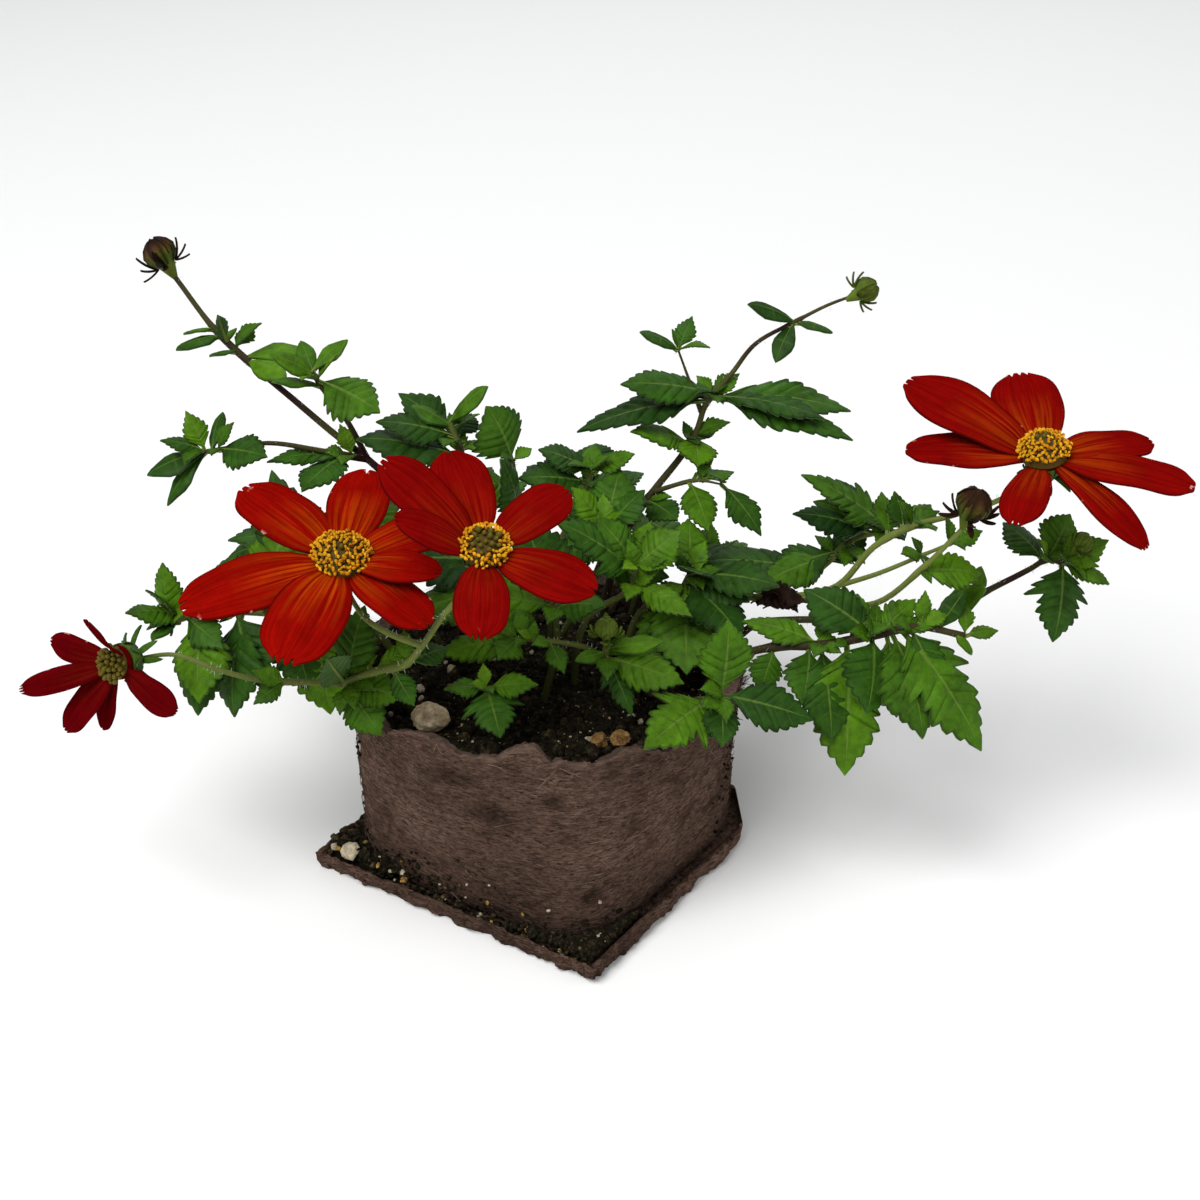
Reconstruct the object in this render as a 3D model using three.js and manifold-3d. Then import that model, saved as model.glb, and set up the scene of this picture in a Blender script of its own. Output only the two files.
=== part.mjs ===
// A bidens in bloom in a pressed-fibre pot, which stands in a square fibre tray.
// Millimetres, +Z up. The origin is the middle of the tray's underside, and the front is towards -Y.
import * as THREE from 'three';
import { mergeVertices } from 'three/addons/utils/BufferGeometryUtils.js';
import Module from 'manifold-3d';

const wasm = await Module();
wasm.setup();

// Driving dimensions
const GAP = 0.3;                 // clearance between two pieces that touch
const TRAY_SIDE = 70;
const TRAY_TURN = -34;           // degrees, seen from above
const TRAY_THICK = 1.6;
const TRAY_LIP = 4.5;            // height of the lip above the underside
const TORN_AT = 42;              // the right corner is torn off at this X
const SPILL_FROM = 18;           // spilled soil starts this far along the tray's wall from its middle
const SPILL_LEFT_HEIGHT = 4;
const SPILL_FRONT_HEIGHT = 2.6;
const POT_RIM_RADIUS = 40;
const POT_RIM_HEIGHT = 45;       // above the tray's underside
const POT_BASE_HALF = 31.6;      // half the width of the pot's square base
const POT_SQUARENESS = 5;        // exponent of the base's rounded square; 2 is a circle
const POT_SIDES = 40;            // facets round the pot
const POT_WALL = 3;
const POT_FLOOR = 3;
const POT_BOTTOM = TRAY_THICK + GAP;
const POT_SIDE = 100;            // in a profile, this radius stands for the pot's outer side
const WORN_FROM = 34;            // the rim's wear reaches down to here
const SOIL_TOP = 40;
const SOIL_INSET = 1.1;          // the soil has shrunk this far from the pot's wall
const SOIL_WAVE = 0.9;           // height of the soil's unevenness
const HOLE_CLEARANCE = 0.75;     // between a stem and its hole in the soil
const STEM_SIDES = 5;
const SIDE_STEM_SIDES = 4;
const STEPS_PER_SPAN = 2;        // of a stem, between two of its points
const LEAF_THICK = 0.7;
const LEAF_BREADTH = 1.25;       // widens every leaf of the table
const LEAF_ARCH = 0.06;          // height of a leaf's arch, as a share of its length
const LEAF_CUP = 0.15;           // how far a leaf's sides drop, as a share of its half width
const STALK_HALF_WIDTH = 0.55;   // of the narrow foot of each leaf
const PETAL_THICK = 0.8;
const PETAL_ARCH = 0.07;
const PETAL_CUP = 0.1;
const PETAL_NOTCH = 0.97;        // share of the length at which a petal's middle ends, between its teeth
const PLATE_RADIUS = 4.4;        // of the plate that a flower's petals grow from
const PLATE_THICK = 1.6;
const PETAL_FOOT_RISE = 0.5;     // how high in the plate the petals start
const PETAL_FOOT_REACH = 0.7;    // share of the plate's radius at which they start
const FLORETS_PER_RADIUS = 3.6;  // florets on a disc, for each millimetre of its radius
const CALYX_HEIGHT = 4;
const CALYX_RADIUS = 3.6;
const BRACT_RADIUS = 0.65;
const SIMPLIFY = 0.2;            // how far joined surfaces may move when slivers are removed

// The worn rim: [direction in degrees, half width in degrees, height added in mm]
const RIM_WEAR = [[265, 8, 4.4], [236, 9, 1.9], [218, 8, -2], [283, 8, -1], [295, 5, 0.6],
  [312, 12, -2.4], [180, 14, 1.6], [95, 16, -1.8], [40, 12, 1.5], [140, 10, -1.4], [8, 8, -1.2]];

// Half outlines of the blades: [share of the length, share of the half width], from foot to tip
const OUTLINES = {
  ovate: [[0.2, 0.3], [0.4, 1], [0.47, 0.74], [0.68, 0.82], [0.73, 0.5]],
  small: [[0.22, 0.26], [0.5, 1], [0.54, 0.68], [0.76, 0.6]],
  lobed: [[0.14, 0.2], [0.24, 0.78], [0.55, 1], [0.46, 0.44], [0.68, 0.56], [0.73, 0.36]],
  petal: [[0, 0.3], [0.2, 0.72], [0.4, 0.95], [0.62, 1], [0.8, 0.86], [0.93, 0.55], [1, 0.22]],
};

// Each shoot: its name, its stems and its leaves. The first stem rises out of its hole in the soil.
// A stem: [radius, points it passes through]. A leaf: [stem, place along the stem counted in its
// points, tip x, y, z, width as a percentage of its length, outline].
const SHOOTS = [
  ['shoot_back_left', [
    [1.1, [[-12, 8, 34], [-16, 14, 52], [-27, 24, 67], [-38, 30, 76], [-45, 32, 81], [-54, 35, 88],
      [-63, 38, 95], [-70, 41, 101], [-78, 45, 111]]],
    [0.8, [[-38, 30, 76], [-42, 27, 87], [-46, 27, 93], [-48, 27, 97]]],
    [0.8, [[-38, 30, 76], [-48, 26, 80], [-58, 25, 82], [-71, 25, 80]]],
  ], [
    [0, 6.6, -68, 36, 106, 42, 'small'], [0, 6.4, -62, 44, 101, 60, 'small'],
    [0, 7.0, -76, 38, 101, 40, 'small'], [0, 6.8, -77, 34, 99, 36, 'small'],
    [0, 6.3, -70, 33, 98, 40, 'small'], [0, 6.0, -54, 31, 94, 40, 'small'],
    [0, 6.1, -51, 42, 96, 36, 'small'], [1, 2.5, -34, 22, 90, 72, 'ovate'],
    [1, 3.0, -41, 32, 102, 36, 'small'], [1, 2.7, -56, 24, 102, 36, 'small'],
    [1, 2.2, -56, 24, 96, 36, 'small'], [1, 2.9, -51, 34, 101, 36, 'small'],
    [2, 2.8, -57, 18, 82, 55, 'ovate'], [2, 3.0, -75, 28, 88, 50, 'small'],
    [2, 2.9, -68, 32, 86, 36, 'small'], [2, 3.0, -80, 24, 83, 50, 'small'],
    [2, 3.0, -79, 20, 70, 30, 'small'], [2, 3.0, -83, 22, 76, 40, 'small'],
    [2, 0.3, -58, 22, 79, 28, 'ovate'], [2, 0.4, -50, 14, 76, 50, 'ovate'],
  ]],
  ['shoot_left', [
    [1.1, [[-27, 2, 34], [-35, 2, 50], [-44, -2, 55], [-57, -4, 58], [-68, -6, 59], [-74, -6, 57]]],
  ], [
    [0, 5.0, -76, -2, 68, 50, 'ovate'], [0, 4.6, -82, -12, 62, 50, 'ovate'],
    [0, 4.2, -62, 4, 67, 50, 'ovate'], [0, 3.9, -69, -16, 41, 55, 'ovate'],
    [0, 3.4, -56, -14, 46, 60, 'ovate'], [0, 3.0, -50, 12, 75, 50, 'ovate'],
    [0, 2.6, -47, -12, 44, 55, 'ovate'], [0, 4.9, -77, -14, 57, 36, 'small'],
    [0, 4.6, -63, -14, 55, 50, 'small'], [0, 2.2, -56, 16, 80, 36, 'ovate'],
    [0, 4.0, -68, -18, 45, 55, 'ovate'], [0, 3.3, -62, -15, 40, 55, 'ovate'],
    [0, 2.7, -49, -16, 53, 60, 'ovate'], [0, 4.8, -78, -10, 66, 55, 'small'],
    [0, 3.8, -67, 2, 62, 60, 'ovate'], [0, 2.2, -43, -14, 40, 60, 'ovate'],
  ]],
  ['shoot_front_left', [
    [1.0, [[-24, -12, 34], [-30, -16, 46], [-36, -22, 50], [-38, -24, 53], [-32, -28, 58],
      [-26, -31, 61], [-22, -34, 67], [-18, -36, 74], [-14, -36, 79], [-11, -35, 83]]],
    [0.8, [[-22, -34, 67], [-28, -33, 69], [-33, -30, 71], [-37, -26, 76]]],
    [0.8, [[-38, -24, 53], [-46, -25, 54], [-54, -26, 55], [-62, -27, 58], [-70, -25, 60],
      [-78, -23, 58]]],
  ], [
    [0, 4.0, -23, -26, 64, 30, 'ovate'], [0, 2.8, -31, -30, 45, 60, 'ovate'],
    [0, 4.6, -24, -34, 54, 50, 'ovate'], [2, 1.4, -55, -30, 52, 50, 'small'],
    [0, 3.2, -27, -28, 52, 60, 'ovate'], [0, 5.2, -18, -26, 62, 50, 'ovate'],
    [0, 3.0, -40, -32, 63, 50, 'ovate'], [0, 3.2, -34, -20, 68, 50, 'ovate'],
  ]],
  ['shoot_front_sprig', [
    [0.8, [[-10, -23, 34], [-10, -24, 44], [-11, -24, 52]]],
  ], [
    [0, 2.0, -8, -34, 47, 85, 'lobed'], [0, 2.0, -19, -26, 53, 50, 'small'],
    [0, 2.0, -1, -26, 54, 50, 'small'],
  ]],
  ['shoot_front_centre', [
    [1.0, [[14, -12, 34], [14, -14, 48], [12, -18, 54], [12, -18, 59]]],
    [0.8, [[14, -14, 48], [9, -16, 56], [0, -16, 58], [-5, -15, 58]]],
  ], [
    [0, 2.4, 17, -26, 47, 45, 'lobed'], [0, 2.5, 6, -22, 57, 35, 'small'],
    [0, 2.6, 23, -20, 60, 30, 'small'], [0, 2.3, 27, -24, 53, 45, 'ovate'],
    [1, 1.9, 4, -22, 54, 50, 'small'], [1, 3.0, -9, -20, 56, 90, 'small'],
    [1, 2.7, -21, -14, 54, 35, 'ovate'], [1, 2.4, -6, -10, 62, 50, 'ovate'],
  ]],
  ['shoot_front_right', [
    [0.9, [[25, -16, 34], [29, -19, 46], [33, -25, 50], [34, -26, 52]]],
  ], [
    [0, 2.6, 34, -34, 45, 60, 'ovate'], [0, 3.0, 35, -24, 67, 60, 'ovate'],
    [0, 2.8, 52, -26, 46, 42, 'ovate'], [0, 1.6, 19, -38, 47, 60, 'lobed'],
  ]],
  ['shoot_right_hub', [
    [1.1, [[28, -7, 34], [36, -9, 49], [43, -12, 54], [54, -14, 56], [64, -14, 58], [73, -14, 60],
      [82, -14, 58]]],
  ], [
    [0, 3.0, 39, -8, 58, 36, 'ovate'], [0, 4.0, 51, -6, 64, 62, 'ovate'],
    [0, 3.0, 56, -24, 40, 50, 'ovate'], [0, 3.5, 59, -24, 32, 60, 'lobed'],
    [0, 4.6, 85, -26, 39, 60, 'lobed'], [0, 4.3, 69, -20, 43, 50, 'ovate'],
    [0, 5.0, 74, -12, 67, 50, 'small'], [0, 5.4, 82, -10, 66, 40, 'small'],
    [0, 6.0, 89, -12, 58, 45, 'small'], [0, 5.8, 83, -18, 56, 40, 'small'],
    [0, 4.1, 73, -8, 63, 50, 'small'],
    [0, 2.8, 50, -22, 47, 60, 'ovate'], [0, 4.0, 62, -27, 48, 70, 'ovate'],
    [0, 4.4, 73, -28, 43, 60, 'ovate'], [0, 4.8, 77, -20, 48, 50, 'ovate'],
    [0, 3.6, 62, -4, 62, 60, 'ovate'], [0, 2.2, 42, -17, 47, 60, 'ovate'],
  ]],
  ['shoot_right_far', [
    [1.0, [[31, 1, 34], [41, 0, 52], [51, 0, 54], [66, 0, 53], [79, 2, 54], [92, 4, 60],
      [98, 5, 63], [101, 5, 65], [104, 4, 65]]],
  ], [
    [0, 8.0, 102, -4, 51, 80, 'lobed'], [0, 7.9, 113, 0, 62, 56, 'ovate'],
    [0, 8.0, 114, 8, 68, 50, 'small'],
    [0, 6.8, 93, 12, 70, 80, 'ovate'], [0, 7.0, 107, 14, 71, 60, 'ovate'],
    [0, 4.6, 89, 10, 61, 40, 'small'], [0, 4.0, 88, -2, 62, 40, 'small'],
  ]],
  ['shoot_right_flower', [
    [1.0, [[24, 7, 34], [35, 7, 54], [50, 6, 56], [59, 5, 59], [66, 5, 68], [73, 4, 73],
      [81, 3, 76], [90, 2, 80], [97, 1, 86]]],
    [0.9, [[50, 6, 56], [58, 1, 57], [66, -4, 60], [74, -8, 70], [81, -10, 80]]],
    [0.7, [[59, 5, 59], [67, 3, 63], [75, 1, 68], [80, 0, 71]]],
  ], [
    [0, 4.8, 70, 10, 78, 60, 'small'], [0, 5.0, 78, 12, 74, 50, 'small'],
    [0, 5.2, 77, -2, 75, 50, 'small'], [0, 4.4, 68, 14, 76, 50, 'small'],
    [1, 2.9, 86, -5, 67, 55, 'ovate'], [2, 3.0, 87, 2, 73, 50, 'small'],
    [2, 2.0, 70, -4, 71, 45, 'small'],
  ]],
  ['shoot_right_upper', [
    [1.0, [[19, 13, 34], [29, 16, 52], [45, 18, 54], [56, 18, 56], [63, 16, 64], [70, 15, 67]]],
  ], [
    [0, 5.0, 52, 18, 78, 50, 'lobed'], [0, 4.6, 50, 12, 72, 40, 'ovate'],
    [0, 3.5, 43, 10, 56, 44, 'ovate'], [0, 3.2, 67, 22, 63, 60, 'ovate'],
    [0, 2.9, 32, 16, 59, 50, 'ovate'], [0, 5.0, 73, 10, 67, 70, 'small'],
    [0, 4.8, 60, 22, 75, 60, 'ovate'], [0, 3.6, 45, 14, 56, 60, 'ovate'],
    [0, 3.8, 61, 10, 61, 50, 'small'], [0, 4.9, 55, 20, 71, 60, 'small'],
  ]],
  ['shoot_tall_right', [
    [1.1, [[9, 16, 34], [15, 22, 60], [19, 26, 66], [23, 28, 71], [28, 30, 77], [31, 31, 82],
      [33, 32, 88], [38, 33, 94], [43, 35, 100], [51, 37, 104], [58, 39, 107], [64, 40, 109]]],
    [0.7, [[32, 32, 86], [30, 33, 91], [27, 34, 99]]],
    [0.7, [[22, 27, 70], [31, 24, 74], [36, 22, 74]]],
  ], [
    [0, 9.0, 41, 34, 109, 36, 'small'], [0, 9.0, 59, 36, 102, 36, 'small'],
    [0, 9.0, 47, 32, 97, 40, 'small'], [1, 2.0, 19, 34, 103, 40, 'small'],
    [1, 2.0, 30, 38, 105, 50, 'small'], [0, 6.1, 6, 26, 84, 32, 'ovate'],
    [0, 6.1, 28, 40, 88, 50, 'ovate'], [0, 6.2, 63, 24, 83, 30, 'ovate'],
    [0, 6.2, 63, 30, 87, 34, 'ovate'], [0, 4.8, 31, 22, 78, 80, 'ovate'],
    [0, 4.5, 17, 24, 85, 50, 'small'], [2, 2.0, 44, 14, 66, 50, 'small'],
    [2, 1.2, 39, 28, 74, 45, 'small'], [2, 0.8, 33, 14, 67, 50, 'ovate'],
    [0, 6.3, 15, 30, 93, 46, 'ovate'], [0, 6.2, 57, 23, 88, 32, 'ovate'],
    [0, 4.6, 34, 25, 77, 60, 'ovate'], [0, 2.4, 27, 19, 67, 60, 'ovate'],
  ]],
  ['shoot_centre', [
    [1.0, [[5, -4, 34], [8, 0, 54], [17, 2, 60], [18, 2, 65]]],
  ], [
    [0, 3.0, 27, 4, 72, 65, 'ovate'], [0, 3.0, 10, 6, 74, 60, 'ovate'],
    [0, 2.7, 2, 0, 76, 60, 'lobed'],
    [0, 2.2, 29, -10, 60, 30, 'ovate'], [0, 3.0, 21, 12, 70, 50, 'ovate'],
  ]],
  ['shoot_centre_right', [
    [1.0, [[14, 0, 34], [19, 3, 54], [27, 6, 57], [29, 6, 61]]],
  ], [
    [0, 3.0, 29, 18, 68, 50, 'ovate'], [0, 3.0, 41, 0, 58, 50, 'ovate'],
    [0, 2.5, 28, -12, 48, 60, 'ovate'], [0, 2.2, 21, -8, 45, 50, 'ovate'],
    [0, 3.0, 31, -3, 66, 60, 'ovate'],
    [0, 3.0, 47, 1, 61, 55, 'ovate'], [0, 2.6, 39, -8, 54, 60, 'ovate'],
  ]],
  ['shoot_centre_left', [
    [1.0, [[-8, 4, 34], [-10, 10, 58], [-16, 16, 73], [-18, 22, 82], [-20, 24, 87]]],
    [0.8, [[-10, 10, 58], [-6, 14, 74], [-7, 16, 82]]],
  ], [
    [0, 4.0, -12, 24, 95, 40, 'small'], [0, 3.8, -28, 26, 90, 40, 'small'],
    [0, 3.4, -35, 22, 88, 50, 'ovate'], [1, 2.0, -12, 16, 94, 90, 'ovate'],
    [0, 3.0, -10, 28, 80, 50, 'ovate'], [1, 1.2, -19, 8, 82, 50, 'ovate'],
    [0, 3.2, -27, 28, 82, 60, 'ovate'], [0, 3.4, -16, 31, 86, 60, 'ovate'],
    [0, 3.6, -31, 30, 91, 50, 'small'], [0, 2.8, -39, 20, 85, 60, 'ovate'],
    [0, 2.4, -23, 20, 78, 60, 'ovate'], [0, 0.9, -29, 0, 54, 60, 'ovate'],
    [0, 1.2, -31, 14, 60, 60, 'ovate'], [1, 0.8, -9, 8, 86, 60, 'ovate'],
  ]],
  ['shoot_centre_back', [
    [1.0, [[0, 14, 34], [2, 20, 60], [7, 22, 70], [9, 24, 76]]],
  ], [
    [0, 3.0, -2, 24, 81, 60, 'ovate'], [0, 3.0, 18, 24, 80, 50, 'ovate'],
    [0, 2.6, -6, 16, 78, 50, 'ovate'], [0, 2.4, 22, 20, 70, 30, 'ovate'],
    [0, 3.0, 10, 36, 77, 60, 'ovate'],
  ]],
  ['shoot_under_flowers', [
    [1.0, [[-2, -10, 34], [2, -7, 52], [2, -8, 62]]],
  ], [
    [0, 2.0, -4, -7, 80, 60, 'ovate'], [0, 1.9, 12, -13, 64, 60, 'ovate'],
    [0, 1.9, -17, -4, 62, 55, 'ovate'],
  ]],
  ['shoot_middle', [
    [1.0, [[-4, 8, 34], [6, 8, 52], [11, 10, 62], [12, 12, 68]]],
  ], [
    [0, 3.0, 5, 14, 77, 60, 'ovate'], [0, 3.0, 20, 17, 75, 60, 'ovate'],
    [0, 2.6, 2, 6, 65, 60, 'ovate'], [0, 2.6, 24, 6, 66, 60, 'ovate'],
    [0, 2.8, 2, 12, 72, 60, 'ovate'], [0, 3.0, 15, 23, 77, 60, 'ovate'],
    [0, 1.9, 25, 9, 59, 60, 'ovate'],
  ]],
  ['shoot_rear_a', [
    [1.0, [[-9, 22, 34], [-13, 32, 51], [-19, 44, 57], [-26, 56, 56]]],
  ], [
    [0, 3.0, -35, 72, 49, 60, 'lobed'], [0, 2.7, -14, 66, 58, 60, 'ovate'],
    [0, 2.4, -38, 56, 60, 55, 'ovate'], [0, 1.8, -5, 50, 62, 55, 'ovate'],
    [0, 1.6, -32, 38, 64, 55, 'ovate'],
  ]],
  ['shoot_rear_b', [
    [1.0, [[5, 24, 34], [5, 34, 52], [6, 46, 58], [7, 57, 57]]],
  ], [
    [0, 3.0, 8, 75, 48, 60, 'ovate'], [0, 2.8, 21, 67, 56, 60, 'lobed'],
    [0, 2.6, -6, 62, 60, 60, 'ovate'], [0, 2.0, 19, 52, 63, 55, 'ovate'],
    [0, 1.7, -6, 44, 66, 55, 'ovate'],
  ]],
  ['shoot_rear_c', [
    [1.0, [[15, 22, 34], [22, 32, 50], [30, 40, 50], [38, 48, 45]]],
  ], [
    [0, 3.0, 52, 60, 34, 60, 'ovate'], [0, 2.8, 32, 66, 36, 60, 'ovate'],
    [0, 2.6, 56, 46, 40, 60, 'lobed'], [0, 2.0, 18, 55, 51, 55, 'ovate'],
    [0, 1.7, 45, 32, 49, 55, 'ovate'],
  ]],
  ['shoot_rear_d', [
    [1.0, [[-20, 14, 34], [-31, 20, 51], [-42, 26, 57], [-54, 32, 56]]],
  ], [
    [0, 3.0, -71, 38, 49, 60, 'ovate'], [0, 2.8, -56, 48, 57, 60, 'lobed'],
    [0, 2.5, -68, 24, 60, 60, 'ovate'], [0, 2.0, -36, 44, 62, 55, 'ovate'],
    [0, 1.8, -50, 14, 62, 55, 'ovate'],
  ]],
];

// Each flower: its name, the shoot that carries it, the middle of its petals, its axis, the radius
// of its disc, and its petals: [tip x, y, z, width as a percentage of the length]
const FLOWERS = [
  ['left', 'shoot_front_left', [-37, -26, 80], [0.1, -0.3, 0.95], 6.8, [
    [-57, -10, 88, 52], [-34, -2, 88, 50], [-16, -16, 84, 48], [-18, -34, 82, 46],
    [-20, -41, 75, 50], [-45, -51, 73, 58], [-65, -38, 77, 48]]],
  ['centre', 'shoot_front_left', [-10, -36, 87], [0.12, -0.45, 0.88], 5.4, [
    [-28, -31, 103, 46], [-17, -18, 99, 56], [-25, -42, 97, 46], [5, -24, 94, 52],
    [10, -45, 84, 54], [-10, -55, 80, 56]]],
  ['right', 'shoot_right_flower', [97, 0, 89], [-0.12, -0.14, 0.98], 6, [
    [72, 17, 99, 50], [71, 6, 89, 52], [96, 26, 97, 56], [119, 5, 91, 56], [124, -10, 88, 44],
    [114, -18, 79, 30], [89, -16, 83, 54]]],
  ['far_left', 'shoot_front_left', [-80, -26, 59], [-0.6, -0.76, 0.25], 3.9, [
    [-96, -16, 58, 34], [-83, -34, 72, 50], [-99, -30, 55, 27], [-92, -28, 45, 40],
    [-86, -24, 43, 38], [-69, -33, 52, 54]]],
];

// Each bud: the shoot that carries it, its middle, its axis, its radius, and the name of its own node
// where it is dark; a green bud is one with its shoot
const BUDS = [
  ['shoot_back_left', [-81, 46, 116], [-0.5, 0.15, 0.85], 3.4, 'bud_back_left'],
  ['shoot_right_flower', [82, -11, 85], [0.25, -0.2, 0.93], 3.4, 'bud_right'],
  ['shoot_tall_right', [66, 40, 110], [0.9, 0.1, 0.45], 2.5, ''],
  ['shoot_left', [-76, -7, 58], [-0.8, -0.3, 0.4], 2, ''],
  ['shoot_front_centre', [12, -18, 62], [0, -0.3, 0.95], 2.2, ''],
  ['shoot_right_far', [108, 5, 69], [0.7, 0.1, 0.7], 2.1, ''],
];

const COLOURS = {
  tray: '#5d4a40', pot: '#5e4a42', soil: '#191614', leaf: '#3f7a26', red: '#b01710',
  yellow: '#d9a52a', bud: '#3d2a1a', pale: '#b9ad99', tan: '#93713f',
};

const GOLDEN_ANGLE = Math.PI * (3 - Math.sqrt(5));

const random = (seed) => () => {
  seed = (seed * 16807) % 2147483647;
  return seed / 2147483647;
};

const vec = ([x, y, z]) => new THREE.Vector3(x, y, z);

function toSolid(geometry) {
  geometry.deleteAttribute('normal');
  geometry.deleteAttribute('uv');
  const merged = mergeVertices(geometry, 1e-4);
  return new wasm.Manifold(new wasm.Mesh({
    numProp: 3,
    vertProperties: Float32Array.from(merged.attributes.position.array),
    triVerts: Uint32Array.from(merged.index.array),
  }));
}

function toGeometry(solid) {
  const mesh = solid.getMesh();
  const geometry = new THREE.BufferGeometry();
  geometry.setAttribute('position', new THREE.BufferAttribute(mesh.vertProperties, 3));
  geometry.setIndex(new THREE.BufferAttribute(mesh.triVerts, 1));
  return geometry;
}

function join(solids) {
  return wasm.Manifold.union(solids).asOriginal().simplify(SIMPLIFY);
}

function moveVertices(geometry, move) {
  const position = geometry.attributes.position;
  const point = new THREE.Vector3();
  for (let i = 0; i < position.count; i += 1) {
    move(point.fromBufferAttribute(position, i));
    position.setXYZ(i, point.x, point.y, point.z);
  }
  return geometry;
}

// A blade from foot to tip: its outline is extruded flat, then arched along its length and cupped
function blade(foot, tip, facing, outline, halfWidth, stalk, thick, arch, cup, notch = 1) {
  const length = foot.distanceTo(tip);
  const along = tip.clone().sub(foot).normalize();
  const up = facing.clone().addScaledVector(along, -facing.dot(along)).normalize();
  const across = up.clone().cross(along);
  const side = outline.map(([s, w]) => [s * length, w * halfWidth]);
  if (stalk > 0) side.unshift([0, stalk]);
  const middle = new THREE.Vector2(notch * length, 0);
  const points = [...side.map(([s, w]) => new THREE.Vector2(s, -w)), middle,
    ...side.reverse().map(([s, w]) => new THREE.Vector2(s, w))];
  const geometry = new THREE.ExtrudeGeometry(new THREE.Shape(points),
    { depth: thick, bevelEnabled: false });
  return toSolid(moveVertices(geometry, (p) => {
    const s = p.x / length;
    const rise = p.z - thick / 2 + arch * length * 4 * s * (1 - s) - cup * (p.y * p.y) / halfWidth;
    const w = p.y;
    p.copy(foot).addScaledVector(along, s * length).addScaledVector(across, w).addScaledVector(up, rise);
  }));
}

function tube(curve, radius, sides, steps) {
  const ring = new THREE.Shape(Array.from({ length: sides }, (_, i) => {
    const turn = (i / sides) * Math.PI * 2;
    return new THREE.Vector2(Math.cos(turn) * radius, Math.sin(turn) * radius);
  }));
  return toSolid(new THREE.ExtrudeGeometry(ring, { steps, bevelEnabled: false, extrudePath: curve }));
}

// A shape made round the Z axis is turned onto an axis and set down at a point
function place(geometry, axis, point) {
  const turn = new THREE.Quaternion().setFromUnitVectors(new THREE.Vector3(0, 0, 1), axis);
  return toSolid(geometry.applyQuaternion(turn).translate(point.x, point.y, point.z));
}

const upright = (geometry) => geometry.rotateX(Math.PI / 2);

// The way a leaf's face looks: up, towards the light at the front, and outwards at the sides
const leafFacing = (x, y) => vec([x / 200, y / 150 - 0.4, 0.9]).normalize();

function shoot([, stems, leaves]) {
  const curves = stems.map(([, points]) => new THREE.CatmullRomCurve3(points.map(vec)));
  const solids = stems.map(([radius, points], i) => tube(curves[i], radius,
    i ? SIDE_STEM_SIDES : STEM_SIDES, (points.length - 1) * STEPS_PER_SPAN));
  for (const [stem, at, x, y, z, width, outline] of leaves) {
    const count = stems[stem][1].length - 1;
    const foot = curves[stem].getPoint(at / count);
    const tip = vec([x, y, z]);
    const facing = leafFacing(x, y);
    const halfWidth = (LEAF_BREADTH * foot.distanceTo(tip) * width) / 200;
    solids.push(blade(foot, tip, facing, OUTLINES[outline], halfWidth, STALK_HALF_WIDTH,
      LEAF_THICK, LEAF_ARCH, LEAF_CUP));
  }
  return solids;
}

// Slender bracts round a bud or under a flower: cones that lean out from the axis
function bracts(foot, axis, count, start, lean, reach) {
  const out = new THREE.Vector3(1, 0, 0).cross(axis).normalize();
  return Array.from({ length: count }, (_, i) => {
    const turned = out.clone().applyAxisAngle(axis, (i / count) * Math.PI * 2);
    const aim = turned.clone().multiplyScalar(Math.cos(lean)).addScaledVector(axis, Math.sin(lean));
    const middle = foot.clone().addScaledVector(turned, start).addScaledVector(aim, reach / 2);
    return place(upright(new THREE.ConeGeometry(BRACT_RADIUS, reach, 3)), aim, middle);
  });
}

function calyx(centre, axis) {
  const middle = centre.clone().addScaledVector(axis, -GAP - CALYX_HEIGHT / 2);
  const cup = upright(new THREE.CylinderGeometry(CALYX_RADIUS, 1, CALYX_HEIGHT, 8));
  return [place(cup, axis, middle), ...bracts(middle, axis, 8, 1.4, -0.5, 5.5)];
}

function petalHead(centre, axis, petals) {
  const plate = upright(new THREE.CylinderGeometry(PLATE_RADIUS, PLATE_RADIUS, PLATE_THICK, 12));
  const solids = [place(plate, axis, centre.clone().addScaledVector(axis, PLATE_THICK / 2))];
  const start = centre.clone().addScaledVector(axis, PETAL_FOOT_RISE);
  for (const [x, y, z, width] of petals) {
    const tip = vec([x, y, z]);
    const aim = tip.clone().sub(start);
    aim.addScaledVector(axis, -aim.dot(axis)).normalize();
    const foot = start.clone().addScaledVector(aim, PLATE_RADIUS * PETAL_FOOT_REACH);
    const halfWidth = (foot.distanceTo(tip) * width) / 200;
    solids.push(blade(foot, tip, axis, OUTLINES.petal, halfWidth, 0, PETAL_THICK, PETAL_ARCH,
      PETAL_CUP, PETAL_NOTCH));
  }
  return join(solids);
}

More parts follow.
